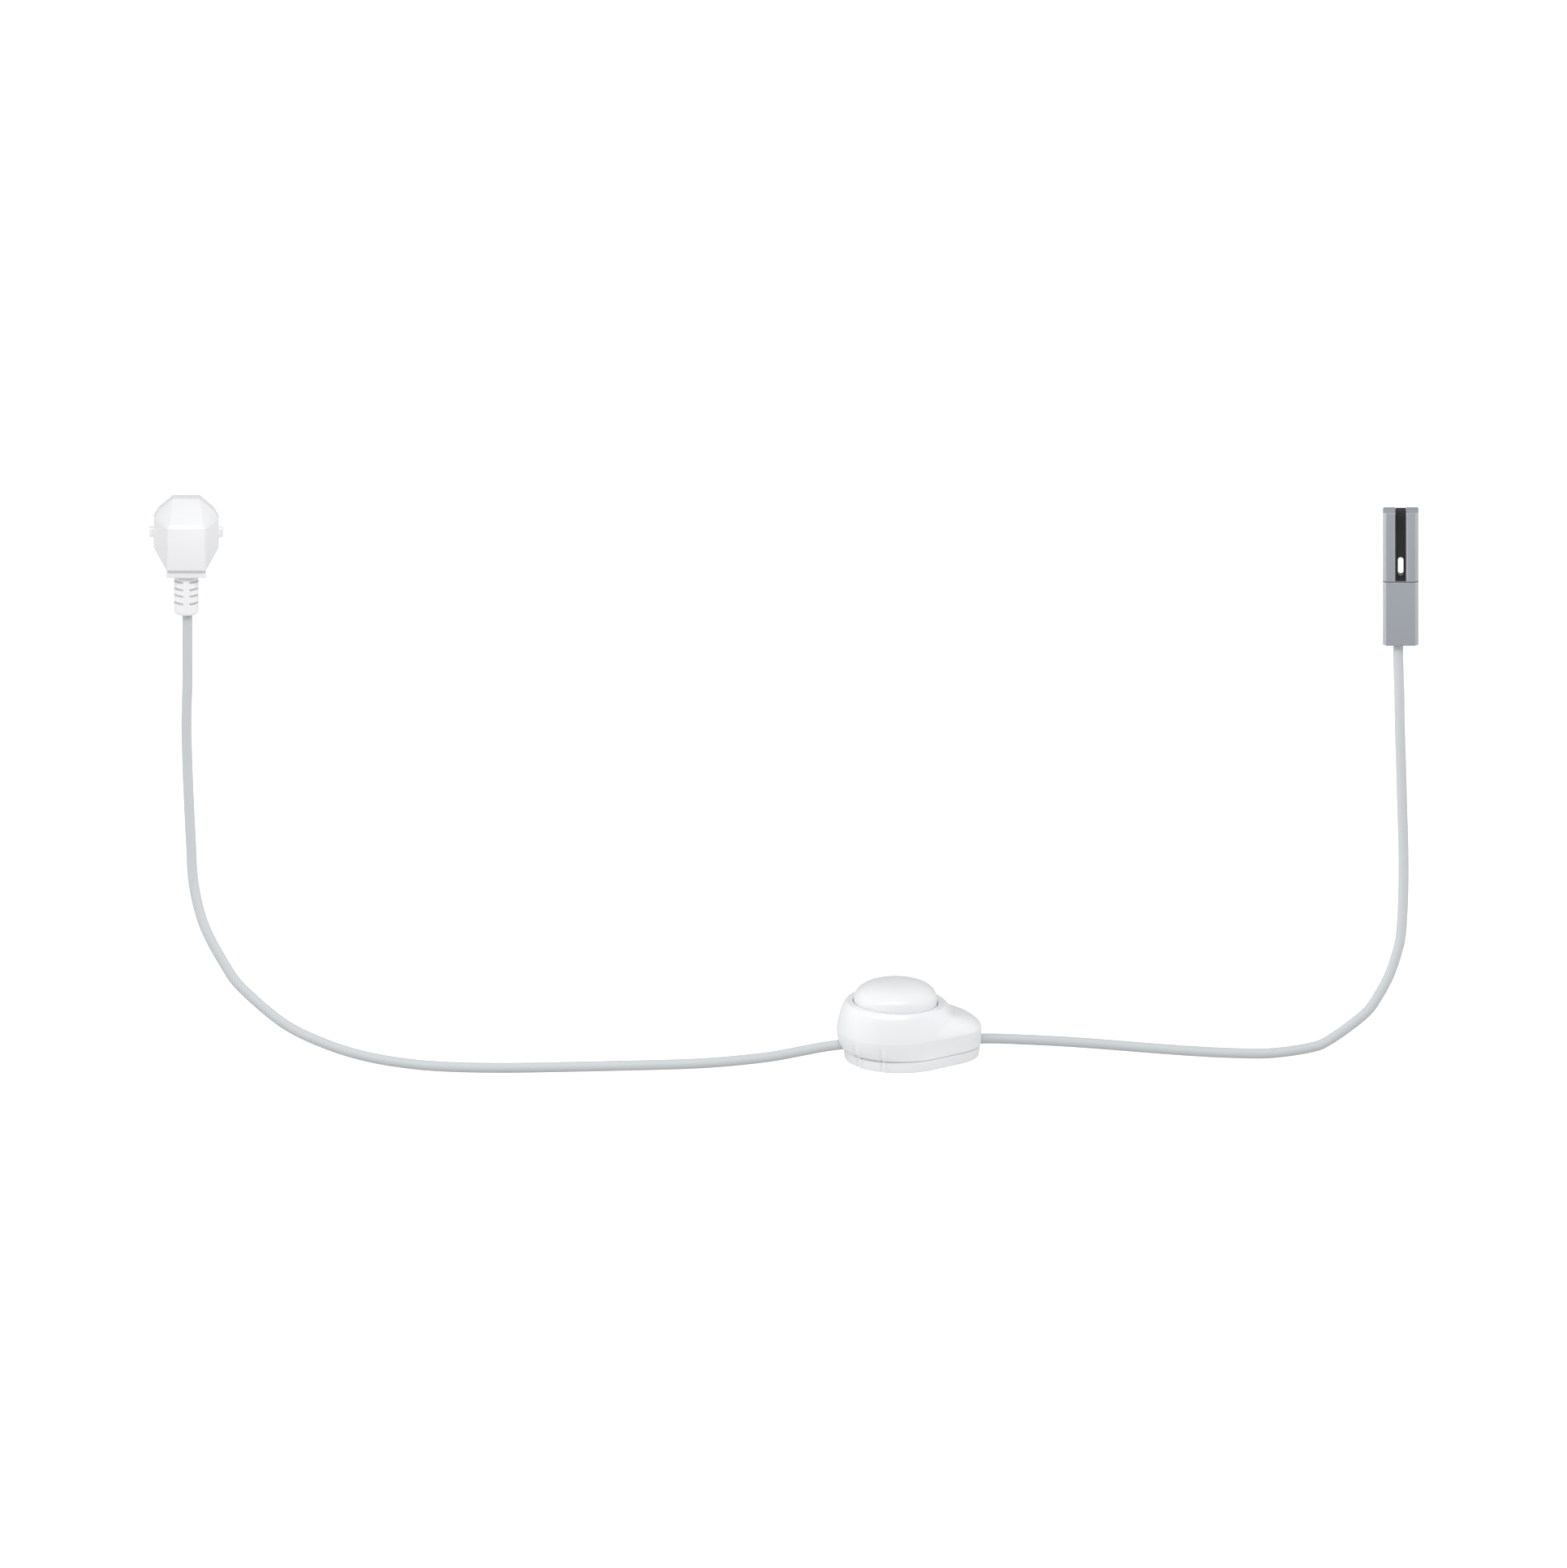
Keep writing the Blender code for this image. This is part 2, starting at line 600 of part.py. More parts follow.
def switch_terminals():
    """Each end of the switch: a terminal block, its two screws and two inner leads."""
    down, toward_left, toward_right = (0, 0, -1), (-1, 0, 0), (1, 0, 0)
    ends = [
        ("left", (-23.8, -18.8), toward_right, LEFT_CORD_END_X + GAP, -23.8),
        ("right", (12.0, 18.0), toward_left, RIGHT_CORD_END_X - GAP, 18.0),
    ]
    for side, (low_x, high_x), entry, cord_end_x, mouth_x in ends:
        middle = (low_x + high_x) / 2
        rows = [-3.2, 3.2]
        holes = [((middle, row, 9.5), (mouth_x, row, 6.2)) for row in rows]
        low, high = (low_x, -6.0, 3.1), (high_x, 6.0, 9.5)
        terminal_block(f"terminal_block_{side}", low, high, holes, entry, down, SWITCH_BASE)
        for row, end, colour in zip(rows, ("front", "rear"), ("lead_brown", "lead_blue")):
            top = SWITCH_BASE + Vector((middle, row, 11.2))
            name = f"terminal_screw_{side}_{end}"
            machine_screw(name, top, (0, 0, -1), 1.9, 1.15, 3.6, "steel_metal")
            inward = Vector(entry)
            start = Vector((cord_end_x, math.copysign(1.2, row), CORD_Z))
            finish = Vector((mouth_x, row, 6.2))
            points = [start, start + inward * 0.6, finish - inward * 0.8, finish + inward * 1.6]
            tube(f"inner_lead_{side}_{end}", points, 0.8, colour, SWITCH_BASE)


def cord_clamps():
    bar_z = CORD_Z + 3.1
    for side, x in (("left", LEFT_CORD_END_X - 1.7), ("right", RIGHT_CORD_END_X + 3.0)):
        low, high = (x - 1.5, -6.8, bar_z), (x + 1.5, 6.8, bar_z + 1.8)
        bar = box(f"cord_clamp_{side}", low, high, "inner_plastic", SWITCH_BASE, 0.3)
        ways = []
        for end, step in (("front", -5.1), ("rear", 5.1)):
            start, finish = (x, step, bar_z - 2), (x, step, bar_z + 4)
            ways.append(rod(f"{side}_{end}_way", start, finish, 1.2, None, SWITCH_BASE, sides=12))
            top = SWITCH_BASE + Vector((x, step, bar_z + 3.4))
            machine_screw(f"clamp_screw_{side}_{end}", top, (0, 0, -1), 1.7, 0.85, 7.6, "steel_metal")
        combine(bar, "DIFFERENCE", ways)


def housing_screws_and_feet():
    for i, (x, y, _) in enumerate(HOUSING_SCREWS):
        bottom = SWITCH_BASE + Vector((x, y, 1.4))
        machine_screw(f"housing_screw_{i + 1}", bottom, (0, 0, 1), 2.8, 1.3, 13.0, "steel_metal")
    for i, (x, y) in enumerate(FEET):
        profile = [(0, 1.2), (3.7, 1.2), (4, 0.9), (4, 0.3), (3.7, 0), (0, 0)]
        turned(f"rubber_foot_{i + 1}", profile, "foot_rubber", SWITCH_BASE + Vector((x, y, 0)))


def turn_switch():
    """Turns every part and cutter made so far about the button's upright axis."""
    pivot = SWITCH_AXIS * MM
    turn = Matrix.Rotation(SWITCH_TURN, 3, "Z")
    for obj in bpy.data.objects:
        spin = obj.rotation_euler.to_quaternion()
        if obj.rotation_mode == "QUATERNION":
            spin = obj.rotation_quaternion.copy()
        obj.rotation_mode = "QUATERNION"
        obj.rotation_quaternion = turn.to_quaternion() @ spin
        obj.location = pivot + turn @ (obj.location - pivot)


# Plug -----------------------------------------------------------------------------------


def disc_outline(shrink=0.0):
    """The plug's outline: a circle with flat sides and top, and cut lower corners."""
    radius, side, top = DISC_RADIUS - shrink, 17.7 - shrink, 17.4 - shrink
    corners = [(10.3, -18.2), (17.7, -9.0)]
    right = [(x - shrink, z + shrink * 0.6) for x, z in corners]
    for step in range(16):
        angle = math.pi / 2 * step / 16
        right.append((min(radius * math.cos(angle), side), min(radius * math.sin(angle), top)))
    left = [(-x, z) for x, z in reversed(right)]
    return right + [(0.0, top)] + left


def plug_body():
    """The moulded body behind the face plate, with the sloped back and the cord collar."""
    front = [(x, -FACE_PLATE - GAP, z) for x, z in disc_outline()]
    back = [(x, -DISC_DEPTH, z) for x, z in disc_outline()]
    body = loft("plug_body", [front, back], "white_plug", (0, 0, 0))
    block = [
        (x, -BLOCK_DEPTH + y, z)
        for x, y, z in (
            (-9.6, 0.0, 8.8), (9.6, 0.0, 8.8), (-10.5, 1.2, 8.0), (10.5, 1.2, 8.0),
            (-9.6, 0.0, -15.0), (9.6, 0.0, -15.0), (-10.5, 1.2, -16.0), (10.5, 1.2, -16.0),
            (-9.0, 2.2, 10.2), (9.0, 2.2, 10.2),
        )
    ]
    slope = [(x, -DISC_DEPTH + 1.5, z) for x, z in disc_outline(0.8)]
    ridge = [(-8.0, -DISC_DEPTH - 0.4, 17.0), (8.0, -DISC_DEPTH - 0.4, 17.0)]
    rear = hull("plug_rear", block + slope + ridge, None)
    collar = box("collar", (-10.8, -31.5, -20.2), (10.8, -13.0, -14.0), None, round_edges=1.0)
    foot = [(x, y, -19.5) for x in (-10.0, 10.0) for y in (-30.5, -14.0)]
    for step in range(24):
        angle = math.pi / 12 * step
        x, y = RELIEF_RADIUS * math.cos(angle), RELIEF_Y + RELIEF_RADIUS * math.sin(angle)
        foot.append((x, y, RELIEF_TOP_Z + GAP))
    taper = hull("collar_taper", foot, None)
    tabs = box("side_tabs", (-20.2, -9.8, -2.6), (20.2, -5.8, 2.6), None, round_edges=0.8)
    combine(body, "UNION", [rear, collar, taper, tabs])


def plug_face():
    front = [(x, 0.0, z) for x, z in disc_outline(0.9)]
    edge = [(x, -0.9, z) for x, z in disc_outline()]
    back = [(x, -FACE_PLATE, z) for x, z in disc_outline()]
    face = loft("plug_face", [front, edge, back], "white_plug", (0, 0, 0))
    ways = [
        rod(f"pin_way_{side}", (side * PIN_X, -8, 0), (side * PIN_X, 2, 0), PIN_RADIUS + GAP, None)
        for side in (-1, 1)
    ]
    combine(face, "DIFFERENCE", ways)


def plug_pins():
    tip = PIN_REACH
    profile = [(0, tip), (1.1, tip), (1.9, tip - 0.7), (PIN_RADIUS, tip - 2.2)]
    profile += [(PIN_RADIUS, -FACE_PLATE), (0, -FACE_PLATE)]
    for name, side in (("pin_left", -1), ("pin_right", 1)):
        turned(name, profile, "pin_metal", (side * PIN_X, 0, 0), axis=(0, 1, 0))


def plug_bend_relief():
    """A rubber sleeve with four rows of slots, open at its sides and whole front and back."""
    core = 4.3
    profile = [(0, RELIEF_TOP_Z), (RELIEF_RADIUS - 0.5, RELIEF_TOP_Z)]
    profile.append((RELIEF_RADIUS, RELIEF_TOP_Z - 0.5))
    for level in SLOT_LEVELS:
        profile += [(RELIEF_RADIUS, level), (core, level)]
        profile += [(core, level - SLOT_HEIGHT), (RELIEF_RADIUS, level - SLOT_HEIGHT)]
    profile += [(RELIEF_RADIUS, RELIEF_END_Z + 1.6), (RELIEF_RADIUS - 1.6, RELIEF_END_Z)]
    profile += [(0, RELIEF_END_Z)]
    origin = (0, RELIEF_Y, 0)
    sleeve = turned("plug_bend_relief", profile, "white_plug", origin, steps=16)
    reach = RELIEF_RADIUS - 0.25
    low, high = (-1.3, -reach, -41.0), (1.3, reach, -22.4)
    combine(sleeve, "UNION", [box("sleeve_spine", low, high, None, origin)])


# Track connector ------------------------------------------------------------------------


def oblong_way(name, half_width):
    """Cutters for the oblong hole, which goes right through the connector along Y."""
    centres = [HOLE_LOW + HOLE_HALF, HOLE_HIGH - HOLE_HALF]
    ends = [
        rod(f"{name}_{i}", (TRACK_X, -15, z), (TRACK_X, 5, z), half_width, None)
        for i, z in enumerate(centres)
    ]
    low = (TRACK_X - half_width, -16, centres[0])
    high = (TRACK_X + half_width, 6, centres[1])
    return [box(name, low, high, None), *ends]


def connector_rail():
    low = (TRACK_X - TRACK_HALF, -TRACK_DEPTH, TRACK_SEAM + GAP)
    high = (TRACK_X + TRACK_HALF, 0.0, TRACK_TOP)
    rail = box("connector_rail", low, high, "grey_track", round_edges=1.2)
    slot_half = CHANNEL_HALF + GAP
    floor_y = CHANNEL_FLOOR_Y + CHANNEL_WALL + GAP
    low = (TRACK_X - slot_half, -TRACK_DEPTH - 2, CHANNEL_LOW - GAP)
    ways = [box("rail_slot", low, (TRACK_X + slot_half, floor_y, TRACK_TOP + 3), None)]
    for side in (-1, 1):
        middle = TRACK_X + side * BLADE_X
        low, high = (middle - 0.55, -8.8, -27.0), (middle + 0.55, -3.7, TRACK_TOP + 3)
        ways.append(box(f"blade_slot_{side}", low, high, None))
        low, high = (middle - 0.55, -6.5, -31.0), (middle + 0.55, -3.7, -26.0)
        ways.append(box(f"tail_slot_{side}", low, high, None))
    combine(rail, "DIFFERENCE", ways + oblong_way("rail_hole", HOLE_HALF + GAP))


def connector_insert():
    low = (TRACK_X - CHANNEL_HALF, -TRACK_DEPTH + 0.3, CHANNEL_LOW)
    high = (TRACK_X + CHANNEL_HALF, CHANNEL_FLOOR_Y + CHANNEL_WALL, TRACK_TOP - 0.2)
    insert = box("connector_insert", low, high, "black_channel")
    inner = CHANNEL_HALF - CHANNEL_WALL
    low = (TRACK_X - inner, -TRACK_DEPTH - 2, CHANNEL_LOW + CHANNEL_WALL)
    channel = box("insert_channel", low, (TRACK_X + inner, CHANNEL_FLOOR_Y, TRACK_TOP + 3), None)
    combine(insert, "DIFFERENCE", [channel, *oblong_way("insert_hole", HOLE_HALF)])


def contact_blades():
    for name, side in (("contact_blade_left", -1), ("contact_blade_right", 1)):
        x = TRACK_X + side * BLADE_X
        low, high = (x - 0.25, -8.5, -26.5), (x + 0.25, -4.0, TRACK_TOP - 0.7)
        blade = box(name, low, high, "brass_metal")
        tail = box(name + "_tail", (x - 0.25, -6.2, -36.0), (x + 0.25, -4.0, -26.0), None)
        combine(blade, "UNION", [tail])


def chamber_cuts(name):
    """The chamber's hollow and the way for its cord, cut from both of its halves."""
    low = (TRACK_X - TRACK_HALF + 1.75, -TRACK_DEPTH + 1.4, TRACK_BOTTOM + 1.5)
    high = (TRACK_X + TRACK_HALF - 1.75, -1.5, -31.2)
    start, end = (TRACK_CORD_X, TRACK_CORD_Y, -70), (TRACK_CORD_X, TRACK_CORD_Y, -62)
    return [
        box(name + "_hollow", low, high, None),
        rod(name + "_cord_way", start, end, CORD_RADIUS + GAP, None),
    ]


def connector_chamber():
    low = (TRACK_X - TRACK_HALF, CHAMBER_SPLIT_Y + GAP, TRACK_BOTTOM)
    high = (TRACK_X + TRACK_HALF, 0.0, TRACK_SEAM)
    chamber = box("connector_chamber", low, high, "grey_track")
    combine(chamber, "DIFFERENCE", chamber_cuts("chamber"))
    posts, ways = [], []
    for side in (-1, 1):
        x = TRACK_CORD_X + side * 5.2
        low, high = (x - 1.8, CHAMBER_SPLIT_Y + GAP, -64.4), (x + 1.8, -1.0, -59.0)
        posts.append(box(f"chamber_post_{side}", low, high, None))
        ways.append(rod(f"post_way_{side}", (x, -9, -61.7), (x, -3.2, -61.7), 1.1, None, sides=12))
        x = TRACK_X + side * BLADE_X
        low, high = (x - 0.55, -6.5, -33.0), (x + 0.55, -3.7, -28.0)
        ways.append(box(f"chamber_tail_way_{side}", low, high, None))
    combine(chamber, "UNION", posts)
    combine(chamber, "DIFFERENCE", ways)


def connector_cover():
    low = (TRACK_X - TRACK_HALF, -TRACK_DEPTH, TRACK_BOTTOM)
    high = (TRACK_X + TRACK_HALF, CHAMBER_SPLIT_Y, TRACK_SEAM)
    cover = box("connector_cover", low, high, "grey_track", round_edges=1.2)
    combine(cover, "DIFFERENCE", chamber_cuts("cover"))


def connector_wiring():
    low, high = (TRACK_X - 7.0, -7.6, -46.0), (TRACK_X + 7.0, -2.0, -36.3)
    wire_y, screw_z = -4.8, -43.4
    rows = [TRACK_X - 3.6, TRACK_X + 3.6]
    holes = [((x, -7.6, screw_z), (x, wire_y, -46.0)) for x in rows]
    block = "connector_terminal_block"
    terminal_block(block, low, high, holes, (0, 0, 1), (0, 1, 0), (0, 0, 0))
    for x, end, colour in zip(rows, ("left", "right"), ("lead_brown", "lead_blue")):
        name = f"connector_terminal_screw_{end}"
        machine_screw(name, (x, -9.3, screw_z), (0, 1, 0), 1.9, 1.15, 3.1, "steel_metal")
        start_x = TRACK_CORD_X + math.copysign(1.2, x - TRACK_X)
        start_z = TRACK_CORD_ROUTE[-1][2] + GAP
        points = [
            (start_x, TRACK_CORD_Y, start_z), (start_x, TRACK_CORD_Y, start_z + 2.0),
            (x, wire_y, -49.0), (x, wire_y, -44.6),
        ]
        tube(f"connector_lead_{end}", points, 0.8, colour)
    low, high = (TRACK_CORD_X - 6.3, -8.9, -63.2), (TRACK_CORD_X + 6.3, -7.8, -60.2)
    bar = box("connector_clamp", low, high, "steel_metal")
    ways = []
    for side, end in ((-1, "left"), (1, "right")):
        x = TRACK_CORD_X + side * 5.2
        ways.append(rod(f"clamp_way_{end}", (x, -10, -61.7), (x, -7, -61.7), 1.15, None, sides=12))
        name = f"connector_clamp_screw_{end}"
        machine_screw(name, (x, -9.5, -61.7), (0, 1, 0), 1.3, 0.8, 5.2, "steel_metal")
        start, finish = (x, -10, -61.7), (x, -8.2, -61.7)
        ways.append(rod(f"clamp_sink_{end}", start, finish, 1.6, None, sides=16))
    combine(bar, "DIFFERENCE", ways)


# Assembly -------------------------------------------------------------------------------


def build():
    upper_housing()
    lower_housing()
    foot_button()
    button_plunger()
    return_spring()
    ratchet_rotor()
    rotor_bridge()
    contact_bridge()
    switch_carrier()
    fixed_contacts()
    switch_terminals()
    cord_clamps()
    housing_screws_and_feet()
    turn_switch()
    plug_body()
    plug_face()
    plug_pins()
    plug_bend_relief()
    connector_rail()
    connector_insert()
    contact_blades()
    connector_chamber()
    connector_cover()
    connector_wiring()
    for name, route in (("plug_cord", PLUG_CORD_ROUTE), ("track_cord", TRACK_CORD_ROUTE)):
        tube(name, smooth_route(route, CORD_POINT_SPACING), CORD_RADIUS, "grey_cord")


build()
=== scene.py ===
"""Looks of the foot switch lead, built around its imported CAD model.

Shapes are worked out in millimetres, in the model's frame, and become metres where a
mesh is made. The plug's face is the origin, +X runs to the track connector, +Z is up.
"""

import json
import math

import bmesh
import bpy
import numpy as np
from mathutils import Matrix, Vector


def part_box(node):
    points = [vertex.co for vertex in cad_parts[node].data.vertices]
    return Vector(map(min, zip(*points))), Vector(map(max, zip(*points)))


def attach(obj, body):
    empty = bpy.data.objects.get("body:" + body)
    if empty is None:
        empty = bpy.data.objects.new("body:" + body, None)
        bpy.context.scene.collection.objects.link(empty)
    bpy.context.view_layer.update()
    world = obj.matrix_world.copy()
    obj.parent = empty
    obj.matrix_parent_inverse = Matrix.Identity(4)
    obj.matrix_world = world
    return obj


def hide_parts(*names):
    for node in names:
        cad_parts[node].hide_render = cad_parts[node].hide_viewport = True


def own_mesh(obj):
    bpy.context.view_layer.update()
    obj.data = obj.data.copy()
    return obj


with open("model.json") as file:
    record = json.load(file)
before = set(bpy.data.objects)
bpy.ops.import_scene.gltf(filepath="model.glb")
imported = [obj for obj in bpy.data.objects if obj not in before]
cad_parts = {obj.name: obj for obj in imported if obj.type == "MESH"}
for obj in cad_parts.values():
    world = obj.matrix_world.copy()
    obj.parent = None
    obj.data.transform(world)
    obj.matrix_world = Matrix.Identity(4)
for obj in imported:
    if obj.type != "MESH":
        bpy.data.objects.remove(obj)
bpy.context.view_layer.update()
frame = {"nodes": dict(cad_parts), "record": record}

MM = 0.001

# Cord
CORD_RADIUS = 2.75
CORD_STEP = 0.36
STRANDS = 12
CORD_SIDES = 48
WEAVE_DEPTH = 0.22
WEAVE_CROWN = 0.06

# Foot switch, in its own frame: origin on the floor below the middle of its button. Its
# nose is turned a little towards +Y about the button's axis.
SWITCH_TURN = math.radians(8.0)
AROUND = 480
WALL = 2.2
BASE_EGG = {"round_x": 3.0, "round_r": 30.6, "nose_x": 25.3, "nose_r": 20.1}
SEAM_EGG = {"round_x": 2.6, "round_r": 30.6, "nose_x": 26.2, "nose_r": 20.2}
WIDE_EGG = {"round_x": -0.75, "round_r": 31.1, "nose_x": 27.2, "nose_r": 19.8}
SEAM_Z = 6.7
SEAM_GAP = 0.3
CREASE_Z = 17.15
RIM_Z = 32.3
RIM_DROP = 1.0
RIM_RADIUS = 24.5
RIM_WALL = 3.0
COLLAR_SPAN = 7.5
COLLAR_POWER = 2.1
COLLAR_FRONT_POWER = 1.45
COLLAR_START = 0.1
COLLAR_DROP = 3.0
NOSE_TOP_X = 26.0
NOSE_TOP_Z = 26.05
NOSE_FALL = 0.155
NOSE_HIGHEST_Z = 28.4
NOSE_EDGE = 13.0
NOSE_POWER = 2.2
NOSE_START = 0.03
NOSE_BLEND = 5.0
NOSE_BLEND_SPAN = 4.0
HOLE_RADIUS = 23.1
LIP_ROUND = 0.45
BUTTON_RADIUS = 22.7
BUTTON_DOME = 11.1
BUTTON_WALL = 2.0
DOME_POWER = 2.75
FLANGE_RADIUS = 24.3
FLANGE_TOP_Z = 27.4
FLANGE_THICKNESS = 1.5
SPRING_WIRE = 0.45
SPRING_TURNS = 5
SPRING_STEPS = 32
BASE_Z = 0.8
BASE_ROUND = 0.6
FLOOR_TOP_Z = 2.8
SCREW_HEAD_RADIUS = 3.2
SCREW_SHANK_RADIUS = 1.6
FOOT_RECESS_RADIUS = 4.3
CORD_Z = 8.8
# Each rib's angle about the button, half its width, and its height
RIBS = [(-142.0, 1.5, 0.8), (-110.6, 1.1, 0.6)]
RIDGE_SHIFT = 1.0
GROOVE_SHIFT = 0.8

# Plug: its face is at y = 0
DISC_RADIUS = 18.5
DISC_HALF = [(11.0, -19.1), (17.7, -10.5), (17.7, 5.9), (15.1, 10.7), (7.4, 17.4)]
DISC_CORNERS = DISC_HALF + [(-x, z) for x, z in reversed(DISC_HALF)]
DISC_DEPTH = 8.0
FACE_PLATE = 5.0
PLATE_STEP = 0.3
BLOCK_DEPTH = 34.0
PIN_X = 9.5
PIN_RADIUS = 2.4
PIN_TIP_ROUND = 1.3
PIN_FIT = 0.12
SLEEVE_Y = -22.0
SLEEVE_TOP = -21.8
SLEEVE_RADIUS = 6.75
SLEEVE_CORE = 4.2
SLEEVE_LIP = 1.5
SLOT_LEVELS = [-23.9, -28.2, -31.9, -36.2]
SLOT_HEIGHT = 1.45
SPINE_HALF = 1.5

# Track connector: its front is at the lowest y
EDGE_CHAMFER = 1.8
MOUTH_CHAMFER = 0.7
MOUTH_WIDTH = 0.9
CHANNEL_HALF = 2.75
CHANNEL_WALL = 0.55
CHANNEL_FLOOR_Y = -5.9
CHANNEL_LOW = -28.6
HOLE_HALF = 1.45
HOLE_LOW = -27.2
HOLE_HIGH = -16.6
BLADE_X = 4.8
BLADE_WAY_HALF = 0.55
INSERT_FIT = 0.15
BACK_ROUND = 0.9
CHAMBER_WALL = 1.75
POST_HALF = (1.8, 2.7)

# Camera
VIEW_ELEVATION = 18.0
VIEW_WIDTH = 0.850
VIEW_CENTRE = (0.3238, 0.0, -0.1477)
VIEW_DISTANCE = 2.6

# Light: the sky ahead and what it gains above and aside, two lamps, the floor's own glow,
# and what the camera sees of the floor beyond that glow
SKY_AHEAD = 0.14
SKY_ABOVE = 0.55
SKY_ASIDE = 1.8
FRONT_POWER = 16.0
WINDOW_POWER = 3.0
FLOOR_GLOW = 0.57
FLOOR_WHITE = 0.56

# Pieces and CAD nodes at each cord's far end
PLUG_PIECES = ["plug_back", "plug_front", "plug_sleeve", "plug_pin_left", "plug_pin_right"]
CONNECTOR_PIECES = [
    "track_body", "track_channel", "track_chamber", "track_cover",
    "contact_blade_left", "contact_blade_right", "connector_terminal_block",
    "connector_terminal_screw_left", "connector_terminal_screw_right", "connector_clamp",
    "connector_clamp_screw_left", "connector_clamp_screw_right",
    "connector_lead_left", "connector_lead_right",
]


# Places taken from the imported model, in millimetres --------------------------------------


def cad_box(node):
    low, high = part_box(node)
    return low / MM, high / MM


def middle(node):
    low, high = cad_box(node)
    return (low + high) / 2


BUTTON_AXIS = middle("foot_button")
FLOOR_Z = cad_box("rubber_foot_1")[0].z
SWITCH = Vector((BUTTON_AXIS.x, BUTTON_AXIS.y, FLOOR_Z))
TRACK_LOW, TRACK_HIGH = cad_box("connector_rail")
TRACK_X = (TRACK_LOW.x + TRACK_HIGH.x) / 2
TRACK_HALF = (TRACK_HIGH.x - TRACK_LOW.x) / 2
CHAMBER_LOW = cad_box("connector_cover")[0].z
CHAMBER_HIGH = cad_box("connector_cover")[1].z


# Making meshes ---------------------------------------------------------------------------


def add(name, mesh, origin=(0, 0, 0)):
    obj = bpy.data.objects.new(name, mesh)
    obj.location = Vector(origin) * MM
    bpy.context.scene.collection.objects.link(obj)
    return obj


def mesh_of(name, points, faces, sharp=40):
    mesh = bpy.data.meshes.new(name)
    mesh.from_pydata(np.asarray(points, float) * MM, [], faces)
    mesh.validate()
    mesh.shade_smooth()
    mesh.set_sharp_from_angle(angle=math.radians(sharp))
    return mesh


def from_bmesh(name, bm, origin=(0, 0, 0), sharp=40):
    bmesh.ops.recalc_face_normals(bm, faces=bm.faces)
    bmesh.ops.scale(bm, vec=(MM, MM, MM), verts=bm.verts)
    mesh = bpy.data.meshes.new(name)
    bm.to_mesh(mesh)
    bm.free()
    mesh.shade_smooth()
    mesh.set_sharp_from_angle(angle=math.radians(sharp))
    return add(name, mesh, origin)


def bake_modifiers(obj, sharp=40):
    """Puts the evaluated mesh in place of the object's own one."""
    graph = bpy.context.evaluated_depsgraph_get()
    mesh = bpy.data.meshes.new_from_object(obj.evaluated_get(graph))
    obj.modifiers.clear()
    obj.data = mesh
    mesh.shade_smooth()
    mesh.set_sharp_from_angle(angle=math.radians(sharp))
    return obj


def bevel(obj, width, segments=4, angle=30):
    rounding = obj.modifiers.new("edges", "BEVEL")
    rounding.width = width * MM
    rounding.segments = segments
    rounding.limit_method = "ANGLE"
    rounding.angle_limit = math.radians(angle)
    rounding.harden_normals = False
    return bake_modifiers(obj)


def combine(obj, operation, others):
    for other in others:
        step = obj.modifiers.new(operation.lower(), "BOOLEAN")
        step.operation = operation
        step.solver = "EXACT"
        step.object = other
    bake_modifiers(obj)
    for other in others:
        bpy.data.objects.remove(other)
    return obj


def box(name, low, high, origin=(0, 0, 0)):
    low, high = Vector(low), Vector(high)
    bm = bmesh.new()
    bmesh.ops.create_cube(bm, size=1.0)
    bmesh.ops.scale(bm, vec=high - low, verts=bm.verts)
    bmesh.ops.translate(bm, vec=(high + low) / 2, verts=bm.verts)
    return from_bmesh(name, bm, origin)


def rod(name, start, end, radius, origin=(0, 0, 0), end_radius=None, sides=48):
    """A cylinder, or a cone when end_radius differs, from one point to another."""
    start, end = Vector(start), Vector(end)
    turn = (end - start).to_track_quat("Z", "Y").to_matrix().to_4x4()
    bm = bmesh.new()
    bmesh.ops.create_cone(
        bm,
        cap_ends=True,
        segments=sides,
        radius1=radius,
        radius2=radius if end_radius is None else end_radius,
        depth=(end - start).length,
        matrix=Matrix.Translation((start + end) / 2) @ turn,
    )
    return from_bmesh(name, bm, origin)


def hull(name, points):
    bm = bmesh.new()
    for point in points:
        bm.verts.new(point)
    bmesh.ops.convex_hull(bm, input=bm.verts)
    loose = [vert for vert in bm.verts if not vert.link_faces]
    bmesh.ops.delete(bm, geom=loose, context="VERTS")
    flat = math.radians(0.5)
    bmesh.ops.dissolve_limit(bm, angle_limit=flat, verts=bm.verts, edges=bm.edges)
    return from_bmesh(name, bm)


def loft(name, rings, origin, looped, sharp=40):
    """Joins rings of equal count, an array of (ring, point, xyz), closed or with flat ends."""
    rings = np.asarray(rings, float)
    levels, count = rings.shape[:2]
    here = np.arange(count)
    there = (here + 1) % count
    faces = []
    for level in range(levels if looped else levels - 1):
        low, high = level * count, (level + 1) % levels * count
        faces += np.stack([low + here, low + there, high + there, high + here], 1).tolist()
    if not looped:
        faces += [here[::-1].tolist(), ((levels - 1) * count + here).tolist()]
    mesh = mesh_of(name, rings.reshape(-1, 3), faces, sharp)
    obj = add(name, mesh, origin)
    bm = bmesh.new()
    bm.from_mesh(mesh)
    bmesh.ops.recalc_face_normals(bm, faces=bm.faces)
    bm.to_mesh(mesh)
    bm.free()
    return obj


